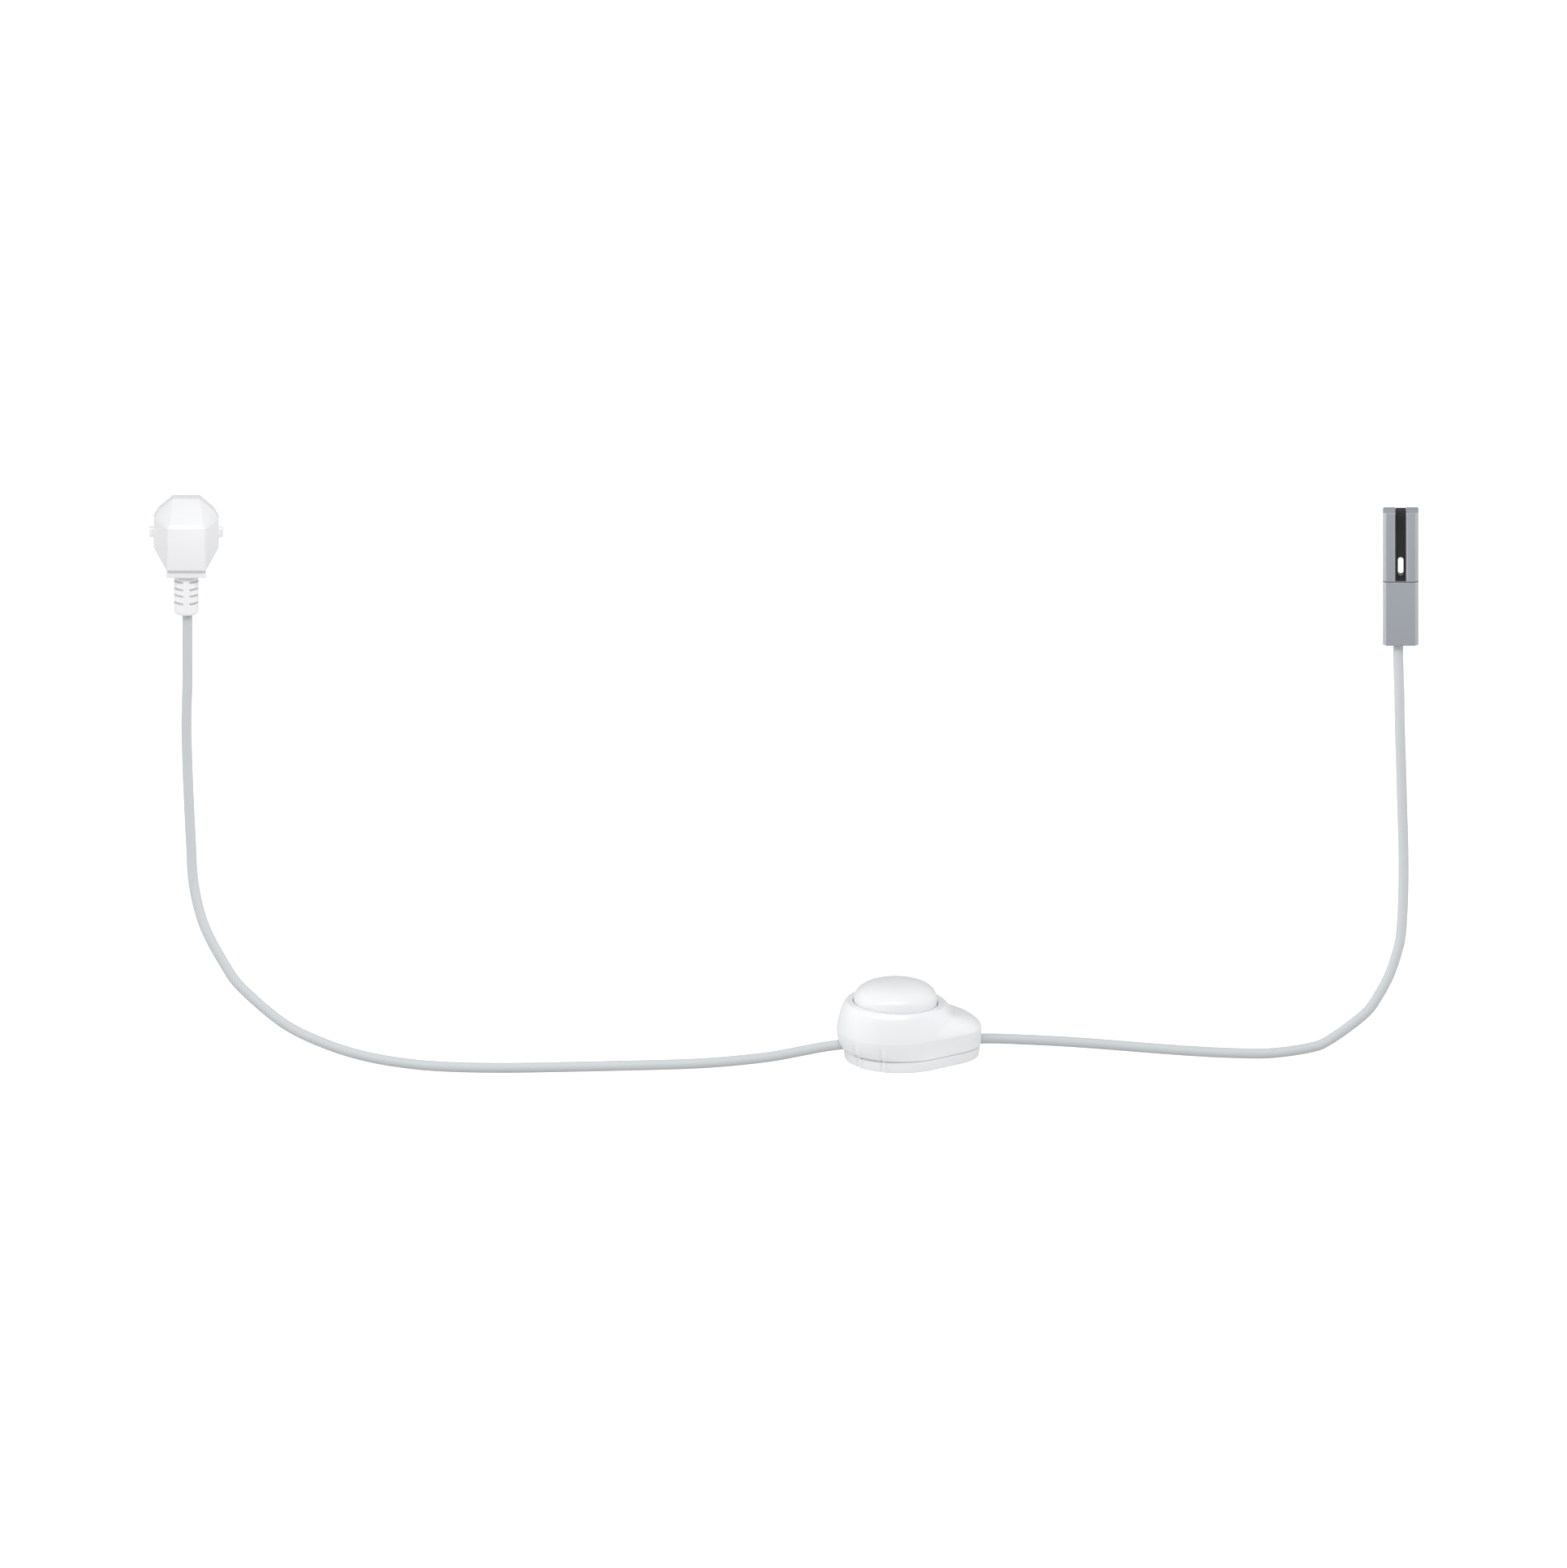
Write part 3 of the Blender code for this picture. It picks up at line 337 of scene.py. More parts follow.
def turned(name, profile, origin, axis=(0, 0, 1), steps=96, sharp=40):
    """Turns a profile of (radius, height) about an axis. It starts and ends on the axis."""
    angles = np.linspace(0, 2 * math.pi, steps, endpoint=False)
    rows = [[(r * math.cos(a), r * math.sin(a), z) for a in angles] for r, z in profile[1:-1]]
    turn = Vector(axis).to_track_quat("Z", "Y").to_matrix()
    points = [turn @ Vector(point) for row in rows for point in row]
    top = turn @ Vector((0, 0, profile[0][1]))
    bottom = turn @ Vector((0, 0, profile[-1][1]))
    here = np.arange(steps)
    there = (here + 1) % steps
    faces = []
    for level in range(len(rows) - 1):
        low, high = level * steps, (level + 1) * steps
        faces += np.stack([low + here, high + here, high + there, low + there], 1).tolist()
    count = len(points)
    last = (len(rows) - 1) * steps
    faces += [[count, int(a), int(b)] for a, b in zip(here, there)]
    faces += [[count + 1, int(last + b), int(last + a)] for a, b in zip(here, there)]
    mesh = mesh_of(name, [tuple(p) for p in [*points, top, bottom]], faces, sharp)
    return add(name, mesh, origin)


def arc(centre, radius, start, end, steps):
    """Points (x, y) of an arc about a centre, from one angle to another in degrees."""
    turns = np.radians(np.linspace(start, end, steps))
    return [(centre[0] + radius * math.cos(t), centre[1] + radius * math.sin(t)) for t in turns]


# Materials -------------------------------------------------------------------------------


class Finish:
    """A node material, with short calls for the nodes that the finishes share."""

    def __init__(self, name, colour, roughness, metallic=0.0, coat=0.0, coat_roughness=0.1):
        self.material = bpy.data.materials.new(name)
        self.material.use_nodes = True
        self.nodes = self.material.node_tree.nodes
        self.links = self.material.node_tree.links
        self.shader = self.nodes["Principled BSDF"]
        self.shader.inputs["Base Color"].default_value = (*colour, 1.0)
        self.shader.inputs["Roughness"].default_value = roughness
        self.shader.inputs["Metallic"].default_value = metallic
        self.shader.inputs["Coat Weight"].default_value = coat
        self.shader.inputs["Coat Roughness"].default_value = coat_roughness
        places = self.nodes.new("ShaderNodeTexCoord")
        self.place, self.normal = places.outputs["Object"], places.outputs["Normal"]

    def stretch(self, scale):
        mapping = self.nodes.new("ShaderNodeMapping")
        mapping.inputs["Scale"].default_value = scale
        self.links.new(self.place, mapping.inputs["Vector"])
        return mapping.outputs["Vector"]

    def noise(self, scale, detail=4.0, source=None):
        noise = self.nodes.new("ShaderNodeTexNoise")
        noise.inputs["Scale"].default_value = scale
        noise.inputs["Detail"].default_value = detail
        self.links.new(source or self.place, noise.inputs["Vector"])
        return noise.outputs["Fac"]

    def tint(self, value, dark, light, low=0.3, high=0.7):
        ramp = self.nodes.new("ShaderNodeValToRGB")
        ramp.color_ramp.elements[0].position = low
        ramp.color_ramp.elements[1].position = high
        ramp.color_ramp.elements[0].color = (*dark, 1.0)
        ramp.color_ramp.elements[1].color = (*light, 1.0)
        self.links.new(value, ramp.inputs["Fac"])
        self.links.new(ramp.outputs["Color"], self.shader.inputs["Base Color"])
        return self

    def rough(self, value, smooth, coarse):
        span = self.nodes.new("ShaderNodeMapRange")
        span.inputs["To Min"].default_value = smooth
        span.inputs["To Max"].default_value = coarse
        self.links.new(value, span.inputs["Value"])
        self.links.new(span.outputs["Result"], self.shader.inputs["Roughness"])
        return self

    def bump(self, value, depth, strength=1.0):
        bump = self.nodes.new("ShaderNodeBump")
        bump.inputs["Distance"].default_value = depth
        bump.inputs["Strength"].default_value = strength
        self.links.new(value, bump.inputs["Height"])
        earlier = self.shader.inputs["Normal"].links
        if earlier:
            self.links.new(earlier[0].from_socket, bump.inputs["Normal"])
        self.links.new(bump.outputs["Normal"], self.shader.inputs["Normal"])
        return self


def shade(colour, factor):
    return tuple(min(1.0, part * factor) for part in colour)


def moulded(name, colour, roughness, coat, grain=0.00001):
    """Moulded plastic: a fine grain, and a faint drift of tone and gloss over the surface."""
    finish = Finish(name, colour, roughness, coat=coat)
    drift = finish.noise(26.0, 3.0)
    finish.tint(drift, shade(colour, 0.975), shade(colour, 1.015))
    finish.rough(finish.noise(90.0, 5.0), roughness * 0.85, roughness * 1.2)
    finish.bump(finish.noise(2200.0, 2.0), grain)
    return finish.material


def metal(name, colour, roughness, scale=(300.0, 300.0, 3000.0)):
    """Drawn or turned metal, with fine lines and a drift of tone."""
    finish = Finish(name, colour, roughness, metallic=1.0)
    lines = finish.noise(1.0, 6.0, finish.stretch(scale))
    finish.tint(lines, shade(colour, 0.88), shade(colour, 1.06))
    finish.rough(lines, roughness * 0.7, roughness * 1.4)
    finish.bump(lines, 0.000008)
    return finish.material


def braid():
    """Braided textile, with fibres along the strands, and painted light from the weave's height:
    painted shade darkens the gaps between strands and a painted highlight lightens their crowns.
    """
    colour = (0.56, 0.585, 0.6)
    finish = Finish("grey_cord", colour, 0.7)
    weave = finish.nodes.new("ShaderNodeAttribute")
    weave.attribute_name = "weave"
    # painted shade in the gaps between strands and painted highlight on their crowns, both set by the
    # weave's height
    finish.tint(weave.outputs["Fac"], shade(colour, 0.45), shade(colour, 1.2), 0.1, 0.85)
    fibres = finish.noise(5200.0, 3.0)
    finish.bump(fibres, 0.00004, 0.7)
    finish.rough(finish.noise(900.0, 2.0), 0.55, 0.75)
    finish.shader.inputs["Sheen Weight"].default_value = 0.35
    finish.shader.inputs["Sheen Roughness"].default_value = 0.4
    return finish.material


def grey_with_painted_chamfer_highlight():
    """Satin grey plastic with a painted highlight: its 45 degree chamfers get a lighter base colour,
    standing in for the side light they catch.
    """
    colour = (0.355, 0.375, 0.415)
    finish = Finish("grey_track", colour, 0.42, coat=0.25)
    # the normal's X times Y is largest on the 45 degree chamfers, and masks the painted highlight
    sides = finish.nodes.new("ShaderNodeSeparateXYZ")
    finish.links.new(finish.normal, sides.inputs["Vector"])
    slant = finish.nodes.new("ShaderNodeMath")
    slant.operation = "MULTIPLY"
    finish.links.new(sides.outputs["X"], slant.inputs[0])
    finish.links.new(sides.outputs["Y"], slant.inputs[1])
    size = finish.nodes.new("ShaderNodeMath")
    size.operation = "ABSOLUTE"
    finish.links.new(slant.outputs["Value"], size.inputs[0])
    # painted highlight: the lighter grey on chamfer-facing normals stands in for side light on the
    # chamfers
    finish.tint(size.outputs["Value"], colour, (0.5, 0.515, 0.535), 0.25, 0.45)
    finish.rough(finish.noise(90.0, 5.0), 0.36, 0.5)
    finish.bump(finish.noise(2200.0, 2.0), 0.00002)
    return finish.material


MATERIALS = {
    "white_shell": moulded("white_shell", (0.88, 0.89, 0.905), 0.34, 0.2),
    "white_button": moulded("white_button", (0.865, 0.875, 0.89), 0.33, 0.2),
    "white_plug": moulded("white_plug", (0.865, 0.865, 0.875), 0.45, 0.08),
    "relief_rubber": moulded("relief_rubber", (0.9, 0.9, 0.91), 0.55, 0.0),
    "grey_cord": braid(),
    "grey_track": grey_with_painted_chamfer_highlight(),
    "black_channel": moulded("black_channel", (0.022, 0.022, 0.025), 0.45, 0.1, 0.00002),
    "inner_plastic": moulded("inner_plastic", (0.7, 0.7, 0.67), 0.5, 0.0),
    "brass_metal": metal("brass_metal", (0.78, 0.57, 0.28), 0.3),
    "steel_metal": metal("steel_metal", (0.58, 0.59, 0.6), 0.35),
    "pin_metal": metal("pin_metal", (0.78, 0.77, 0.75), 0.2, (200.0, 3000.0, 200.0)),
    "foot_rubber": moulded("foot_rubber", (0.045, 0.045, 0.047), 0.8, 0.0, 0.00006),
    "lead_brown": moulded("lead_brown", (0.2, 0.09, 0.045), 0.45, 0.1),
    "lead_blue": moulded("lead_blue", (0.04, 0.14, 0.48), 0.45, 0.1),
}


def finished(obj, slot, *nodes, body="base"):
    """Gives a new piece the material named by its slot and its body, and hides the CAD nodes it
    stands for.
    """
    obj.data.materials.clear()
    obj.data.materials.append(MATERIALS[slot])
    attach(obj, body)
    if nodes:
        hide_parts(*nodes)
    return obj


# Camera, light and floor -----------------------------------------------------------------


def look_at(obj, target):
    obj.rotation_euler = (Vector(target) - obj.location).to_track_quat("-Z", "Y").to_euler()


def camera():
    data = bpy.data.cameras.new("camera")
    data.type = "ORTHO"
    data.ortho_scale = VIEW_WIDTH
    data.clip_end = 20.0
    obj = bpy.data.objects.new("camera", data)
    rise = math.radians(VIEW_ELEVATION)
    away = Vector((0, -math.cos(rise), math.sin(rise))) * VIEW_DISTANCE
    obj.location = Vector(VIEW_CENTRE) + away
    look_at(obj, VIEW_CENTRE)
    bpy.context.scene.collection.objects.link(obj)
    bpy.context.scene.camera = obj


def area_light(name, place, target, power, width, height):
    data = bpy.data.lights.new(name, "AREA")
    data.shape = "RECTANGLE"
    data.size = width
    data.size_y = height
    data.energy = power
    obj = bpy.data.objects.new(name, data)
    obj.location = place
    look_at(obj, target)
    bpy.context.scene.collection.objects.link(obj)


def studio():
    """A white floor under a soft sky, brighter above and at both sides, and two lamps."""
    scene = bpy.context.scene
    scene.view_settings.view_transform = "Standard"
    world = bpy.data.worlds.new("studio")
    scene.world = world
    world.use_nodes = True
    nodes, links = world.node_tree.nodes, world.node_tree.links
    parts = nodes.new("ShaderNodeSeparateXYZ")
    links.new(nodes.new("ShaderNodeTexCoord").outputs["Generated"], parts.inputs["Vector"])

    def step(operation, first, second, third=None):
        node = nodes.new("ShaderNodeMath")
        node.operation = operation
        for slot, value in zip(node.inputs, (first, second, third)):
            if isinstance(value, float):
                slot.default_value = value
            elif value is not None:
                links.new(value, slot)
        return node.outputs["Value"]

    above = step("POWER", step("MAXIMUM", parts.outputs["Z"], 0.0), 2.0)
    aside = step("POWER", step("ABSOLUTE", parts.outputs["X"], None), 4.0)
    upright = step("MULTIPLY_ADD", above, SKY_ABOVE, SKY_AHEAD)
    level = step("MULTIPLY_ADD", aside, SKY_ASIDE, upright)
    links.new(level, nodes["Background"].inputs["Strength"])
    nodes["Background"].inputs["Color"].default_value = (0.985, 0.995, 1.0, 1.0)
    target = SWITCH * MM
    area_light("window", (-0.75, -1.0, 0.75), target, WINDOW_POWER, 0.5, 0.6)
    area_light("front", (0.33, -1.21, 1.23), (0.33, -0.05, -0.15), FRONT_POWER, 1.6, 0.5)

    floor = Finish("floor_white", (0.14, 0.14, 0.14), 0.9)
    floor.tint(floor.noise(3.0, 2.0), (0.135, 0.135, 0.135), (0.145, 0.145, 0.145))
    floor.bump(floor.noise(700.0, 2.0), 0.00002)
    floor.shader.inputs["Specular IOR Level"].default_value = 0.0
    floor.shader.inputs["Emission Color"].default_value = (1.0, 1.0, 1.0, 1.0)
    seen = floor.nodes.new("ShaderNodeLightPath").outputs["Is Camera Ray"]
    glow = floor.nodes.new("ShaderNodeMath")
    glow.operation = "MULTIPLY_ADD"
    floor.links.new(seen, glow.inputs[0])
    glow.inputs[1].default_value = FLOOR_WHITE
    glow.inputs[2].default_value = FLOOR_GLOW
    floor.links.new(glow.outputs["Value"], floor.shader.inputs["Emission Strength"])
    bm = bmesh.new()
    bmesh.ops.create_grid(bm, x_segments=8, y_segments=8, size=6000.0)
    bmesh.ops.translate(bm, vec=(300.0, 0.0, FLOOR_Z), verts=bm.verts)
    ground = from_bmesh("floor", bm)
    ground.data.materials.append(floor.material)


# Cords -----------------------------------------------------------------------------------

PLUG_CORD_ROUTE = [
    (0.6, -22.0, -41.5), (0.6, -22.2, -59.1), (0.6, -23.0, -82.0), (0.1, -24.0, -104.8),
    (0.6, -25.5, -127.5), (1.5, -28.0, -149.8), (2.6, -31.5, -171.8), (4.1, -36.5, -193.1),
    (9.8, -45.5, -213.7), (21.5, -56.0, -233.5), (30.9, -62.5, -244.4),
    (52.9, -74.5, -260.0), (74.9, -84.0, -268.3), (96.9, -90.0, -273.6),
    (118.9, -93.2, -276.6), (140.9, -94.9, -278.0), (170.9, -96.6, -278.1),
    (206.9, -94.9, -278.1), (239.9, -92.6, -278.1), (272.9, -89.6, -278.1),
    (294.9, -85.2, -278.0), (316.9, -80.0, -277.1), (333.9, -76.4, -275.0),
    (346.5, -75.0, -273.0), (356.1, -74.0, -272.1), (365.2, -72.7, -272.2),
]
TRACK_CORD_ROUTE = [
    (416.5, -65.5, -272.2), (430.6, -63.5, -272.2), (441.0, -62.2, -272.6),
    (455.5, -61.0, -273.6), (477.5, -60.9, -274.8), (499.5, -62.0, -276.1),
    (521.5, -64.3, -277.2), (543.5, -67.3, -277.9), (565.6, -70.4, -278.1),
    (587.5, -71.2, -278.0), (609.5, -67.5, -276.0), (620.5, -63.8, -272.4),
    (638.8, -56.0, -260.6), (646.7, -51.0, -251.0), (652.4, -46.2, -241.1),
    (656.2, -41.6, -231.0), (658.6, -37.4, -220.7), (659.8, -30.4, -199.9),
    (659.9, -24.6, -178.7), (659.3, -19.5, -157.2), (658.7, -15.4, -135.3),
    (658.0, -11.6, -113.3), (657.6, -7.8, -91.4), (657.1, -5.0, -75.0),
    (657.1, -4.7, -66.0), (657.1, -4.7, -59.5),
]
PLUG_EXIT = (356.1, -74.0, -272.1)
TRACK_EXIT = (430.6, -63.5, -272.2)


def smooth_route(points, spacing):
    """Points at an even spacing along a Catmull-Rom curve through the given points."""
    knots = np.array(points, float)
    knots = np.vstack([2 * knots[0] - knots[1], knots, 2 * knots[-1] - knots[-2]])
    fine = []
    for i in range(1, len(knots) - 2):
        before, here, there, after = knots[i - 1 : i + 3]
        for t in np.linspace(0, 1, 48, endpoint=False):
            fine.append(
                here
                + 0.5 * t * (there - before)
                + t * t * (before - 2.5 * here + 2 * there - 0.5 * after)
                + t * t * t * (1.5 * (here - there) + 0.5 * (after - before))
            )
    fine = np.array([*fine, knots[-2]])
    reach = np.concatenate([[0], np.cumsum(np.linalg.norm(np.diff(fine, axis=0), axis=1))])
    wanted = np.linspace(0, reach[-1], round(reach[-1] / spacing) + 1)
    return np.stack([np.interp(wanted, reach, fine[:, k]) for k in range(3)], 1), reach[-1]


def weave_height(around, along):
    """Height, 0 to 1, of a plain braid of two families of strands, from turns and mm."""
    pitch = 2 * math.pi * CORD_RADIUS / STRANDS
    first = STRANDS * around + along / pitch
    second = STRANDS * around - along / pitch
    heights = []
    for own, other, sign in ((first, second, 1.0), (second, first, -1.0)):
        across = 2 * (own - np.floor(own)) - 1
        crown = np.sqrt(np.clip(1 - across**2, 0, 1))
        side = np.where(np.floor(own) % 2 == 0, 1.0, -1.0)
        heights.append(0.5 * crown + 0.3 * sign * side * np.sin(math.pi * other))
    return np.clip(np.maximum(*heights) + 0.15, 0, 1)


def braided_cord(name, route):
    """A tube along the route whose surface is the crossing strands of a textile braid."""
    line, length = smooth_route(route, CORD_STEP)
    heading = np.gradient(line, axis=0)
    heading /= np.linalg.norm(heading, axis=1)[:, None]
    side = np.cross(heading[0], (0.0, 1.0, 0.3))
    frames = []
    for ahead in heading:
        side = side - ahead * np.dot(side, ahead)
        side = side / np.linalg.norm(side)
        frames.append((side, np.cross(ahead, side)))
    frames = np.array(frames)
    turns = np.arange(CORD_SIDES) / CORD_SIDES
    along = np.linspace(0, length, len(line))[:, None]
    weave = weave_height(turns[None, :], along)
    radius = CORD_RADIUS + WEAVE_CROWN - WEAVE_DEPTH * (1 - weave)
    cosine = np.cos(2 * math.pi * turns)[None, :, None]
    sine = np.sin(2 * math.pi * turns)[None, :, None]
    out = frames[:, 0, None, :] * cosine + frames[:, 1, None, :] * sine
    rings = line[:, None, :] + out * radius[:, :, None]
    cord = loft(name, rings, (0, 0, 0), looped=False, sharp=80)
    field = cord.data.attributes.new("weave", "FLOAT", "POINT")
    field.data.foreach_set("value", weave.reshape(-1))
    return cord, line, length


def cords():
    """Both cords, each a braided tube along its route between the foot switch and what hangs at its
    far end.
    """
    ends = [
        ("plug_cord", PLUG_CORD_ROUTE, PLUG_EXIT, "plug", PLUG_PIECES),
        ("track_cord", TRACK_CORD_ROUTE, TRACK_EXIT, "connector", CONNECTOR_PIECES),
    ]
    for node, route, exit_place, far_end, pieces in ends:
        cord, line, length = braided_cord(f"{node}_braid", route)
        finished(cord, "grey_cord", node)


# Foot switch -----------------------------------------------------------------------------

TURNS = np.linspace(0, 2 * math.pi, AROUND, endpoint=False)
RIM = RIM_Z - RIM_DROP * np.cos(TURNS)


def egg_reach(egg):
    """How far an egg outline, the hull of two circles, is from the button's axis, all round."""
    swing = np.linspace(-1.45, 1.45, 581)[None, :]
    normals = TURNS[:, None] + swing
    round_side = egg["round_x"] * np.cos(normals) + egg["round_r"]
    nose_side = egg["nose_x"] * np.cos(normals) + egg["nose_r"]
    return (np.maximum(round_side, nose_side) / np.cos(swing)).min(axis=1)


SEAM_REACH = egg_reach(SEAM_EGG)
WIDE_REACH = egg_reach(WIDE_EGG)


def rib_height():
    """Two upright lines on the front of both shells: a narrow groove beside a low ridge."""
    lift = np.zeros(AROUND)
    for place, width, height in RIBS:
        away = np.radians((np.degrees(TURNS) - place + 180) % 360 - 180) * SEAM_REACH / width
        lift += height * np.clip(1 - (away - RIDGE_SHIFT) ** 2, 0, 1)
        lift -= height * np.clip(1 - (away + GROOVE_SHIFT) ** 2, 0, 1)
    return lift


RIB = rib_height()


def ring(reach, height):
    reach = np.broadcast_to(reach, TURNS.shape)
    height = np.broadcast_to(height, TURNS.shape)
    return np.stack([reach * np.cos(TURNS), reach * np.sin(TURNS), height], 1)


def skirt_ring(turn, offset=0.0):
    """The upper shell from the seam, at 0 degrees, out to its crease, at 90."""
    bulge, lift = math.sin(math.radians(turn)), 1 - math.cos(math.radians(turn))
    low = SEAM_Z + SEAM_GAP
    reach = SEAM_REACH + (WIDE_REACH - SEAM_REACH) * bulge
    return ring(reach + RIB * (1 - bulge**8) - offset, low + (CREASE_Z - low) * lift)


def rounded(share, power):
    """A quarter of a superellipse: its height at a share of the way in from its edge."""
    return (1 - (1 - np.clip(share, 0, 1)) ** power) ** (1 / power)


def crowned(share, start, power):
    """A rounded height from 0 to 1 that sets off at a slant, not straight up."""
    low = rounded(start, power)
    return (rounded(start + (1 - start) * np.clip(share, 0, 1), power) - low) / (1 - low)


def shoulder_height(reach):
    """The top's height: a round collar about the button, running into the long nose."""
    out, edge = reach - RIM_RADIUS, WIDE_REACH - reach
    span = np.minimum(COLLAR_SPAN, WIDE_REACH - RIM_RADIUS)
    power = COLLAR_FRONT_POWER + (COLLAR_POWER - COLLAR_FRONT_POWER) * np.cos(TURNS) ** 2
    collar = CREASE_Z + (RIM - CREASE_Z) * crowned(1 - out / span, COLLAR_START, power)
    collar -= COLLAR_DROP * np.maximum(out - span, 0)
    top = NOSE_TOP_Z - NOSE_FALL * (reach * np.cos(TURNS) - NOSE_TOP_X)
    rise = crowned(edge / NOSE_EDGE, NOSE_START, NOSE_POWER)
    nose = CREASE_Z + (np.minimum(top, NOSE_HIGHEST_Z) - CREASE_Z) * rise
    blend = NOSE_BLEND * np.clip(edge / NOSE_BLEND_SPAN, 0, 1)
    height = (collar + nose + np.hypot(collar - nose, blend)) / 2
    return np.minimum(height, RIM)


def shoulder_ring(turn, offset=0.0):
    """The upper shell from its crease, at 0 degrees, up to the rim, at 90."""
    reach = RIM_RADIUS + (WIDE_REACH - RIM_RADIUS) * math.cos(math.radians(turn)) ** 0.8
    height = shoulder_height(reach)
    upward = (height - CREASE_Z) / (RIM - CREASE_Z)
    return ring(reach - offset, height - offset * np.minimum(1, 1.6 * upward))


def cord_cutters():
    """Ways for the two cords, which leave through the seam at both ends."""
    radius = CORD_RADIUS + SEAM_GAP
    return [
        rod("left_way", (-36, 0, CORD_Z), (-23, 0, CORD_Z), radius, SWITCH),
        rod("right_way", (40, 0, CORD_Z), (54, 0, CORD_Z), radius, SWITCH),
    ]


def turn_to_cord(obj):
    """Turns a shell, made along X, about the button's axis to where the real one points."""
    obj.data.transform(Matrix.Rotation(SWITCH_TURN, 4, "Z"))
    return obj


def in_switch(node):
    """The place of a CAD node in the switch's own frame."""
    return Matrix.Rotation(-SWITCH_TURN, 3, "Z") @ (middle(node) - SWITCH)


def switch_top():
    """The upper shell: outside from the seam up to the rim, then down again on the inside."""
    low = SEAM_Z + SEAM_GAP
    rings = [ring(SEAM_REACH + RIB - 0.4, low), ring(SEAM_REACH + RIB - 0.12, low + 0.1)]
    rings += [skirt_ring(turn) for turn in np.linspace(16, 89, 22)]
    rings += [shoulder_ring(turn) for turn in np.linspace(0, 89.7, 90)]
    rings.append(ring(RIM_RADIUS, RIM))
    for x, y in arc((LIP_ROUND, -LIP_ROUND), LIP_ROUND, 90, 180, 7):
        rings.append(ring(HOLE_RADIUS + x, RIM + y))
    rings.append(ring(HOLE_RADIUS, RIM - RIM_WALL))
    rings.append(ring(FLANGE_RADIUS + 0.2, RIM - RIM_WALL - 0.3))
    rings += [shoulder_ring(turn, WALL) for turn in (72, 54, 36, 18)]
    rings += [skirt_ring(turn, WALL) for turn in (85, 60, 30, 0)]
    rings.append(ring(SEAM_REACH - WALL, low))
    shell = loft("switch_top", rings, SWITCH, looped=True)
    combine(shell, "DIFFERENCE", cord_cutters())
    finished(turn_to_cord(shell), "white_shell", "upper_housing")


def switch_bottom():
    """The lower shell: a dish with a rounded lower edge, its screw holes and foot recesses."""
    levels = []
    for turn in np.linspace(0, 90, 8):
        drop = 1 - math.sin(math.radians(turn))
        inward = 1 - math.cos(math.radians(turn))
        levels.append((BASE_Z + BASE_ROUND * inward, BASE_ROUND * drop))
    levels += [(BASE_Z + 3.4, 0.0), (SEAM_Z - 0.2, 0.1), (SEAM_Z, 0.4)]
    levels += [(SEAM_Z, WALL + 0.2), (FLOOR_TOP_Z, WALL + 0.4)]
    low = egg_reach(BASE_EGG)
    rings = []
    for height, inset in levels:
        upward = (height - BASE_Z) / (SEAM_Z - BASE_Z)
        outside = 1.0 if inset < WALL else 0.0
        rings.append(ring(low + (SEAM_REACH - low) * upward - inset + RIB * outside, height))
    shell = loft("switch_bottom", rings, SWITCH, looped=False)
    cutters = cord_cutters()
    for i in range(3):
        x, y, _ = in_switch(f"housing_screw_{i + 1}")
        cutters.append(rod(f"screw_{i}", (x, y, -1), (x, y, 3.2), SCREW_HEAD_RADIUS, SWITCH))
        cutters.append(rod(f"shank_{i}", (x, y, -1), (x, y, 8.0), SCREW_SHANK_RADIUS, SWITCH))
    for i in range(4):
        x, y, _ = in_switch(f"rubber_foot_{i + 1}")
        top = (x, y, BASE_Z + 0.8)
        cutters.append(rod(f"recess_{i}", (x, y, -1), top, FOOT_RECESS_RADIUS, SWITCH))
    combine(shell, "DIFFERENCE", cutters)
    finished(turn_to_cord(shell), "white_shell", "lower_housing")


def button():
    """The domed cap, with a flange under the shell's rim, hollow from below."""
    shares = np.sin(np.radians(np.linspace(0, 90, 48)))
    dome = (1 - shares**DOME_POWER) ** (1 / DOME_POWER)
    profile = [(s * BUTTON_RADIUS, RIM_Z + BUTTON_DOME * d) for s, d in zip(shares, dome)]
    profile += [(BUTTON_RADIUS, FLANGE_TOP_Z), (FLANGE_RADIUS, FLANGE_TOP_Z)]
    bottom = FLANGE_TOP_Z - FLANGE_THICKNESS
    inside, spring_line = BUTTON_RADIUS - BUTTON_WALL, RIM_Z - BUTTON_WALL
    profile += [(FLANGE_RADIUS, bottom), (inside, bottom)]
    inner = [(s * inside, spring_line + BUTTON_DOME * d) for s, d in zip(shares, dome)]
    profile += inner[::-3]
    profile.append((0.0, spring_line + BUTTON_DOME))
    cap = turned("switch_button", profile, SWITCH, steps=192)
    finished(cap, "white_button", "foot_button", body="button")


def return_spring():
    """The coil under the button, drawn at rest; the real one shortens by the button's travel at the
    full press.
    """
    low, high = cad_box("return_spring")
    centre = (low + high) / 2
    radius = (high.x - low.x) / 2 - SPRING_WIRE
    rise = high.z - low.z - 2 * SPRING_WIRE
    steps = SPRING_TURNS * SPRING_STEPS
    rings = []
    for step in range(steps + 1):
        turn = 2 * math.pi * step / SPRING_STEPS
        height = low.z + SPRING_WIRE + rise * step / steps
        section = []
        for x, y in arc((0, 0), SPRING_WIRE, 0, 330, 12):
            out = (centre.x + (radius + x) * math.cos(turn), centre.y + (radius + x) * math.sin(turn))
            section.append((*out, height + y))
        rings.append(section)
    coil = loft("button_spring", rings, (0, 0, 0), looped=False)
    finished(coil, "steel_metal", "return_spring")
    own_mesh(coil)


# Plug ------------------------------------------------------------------------------------


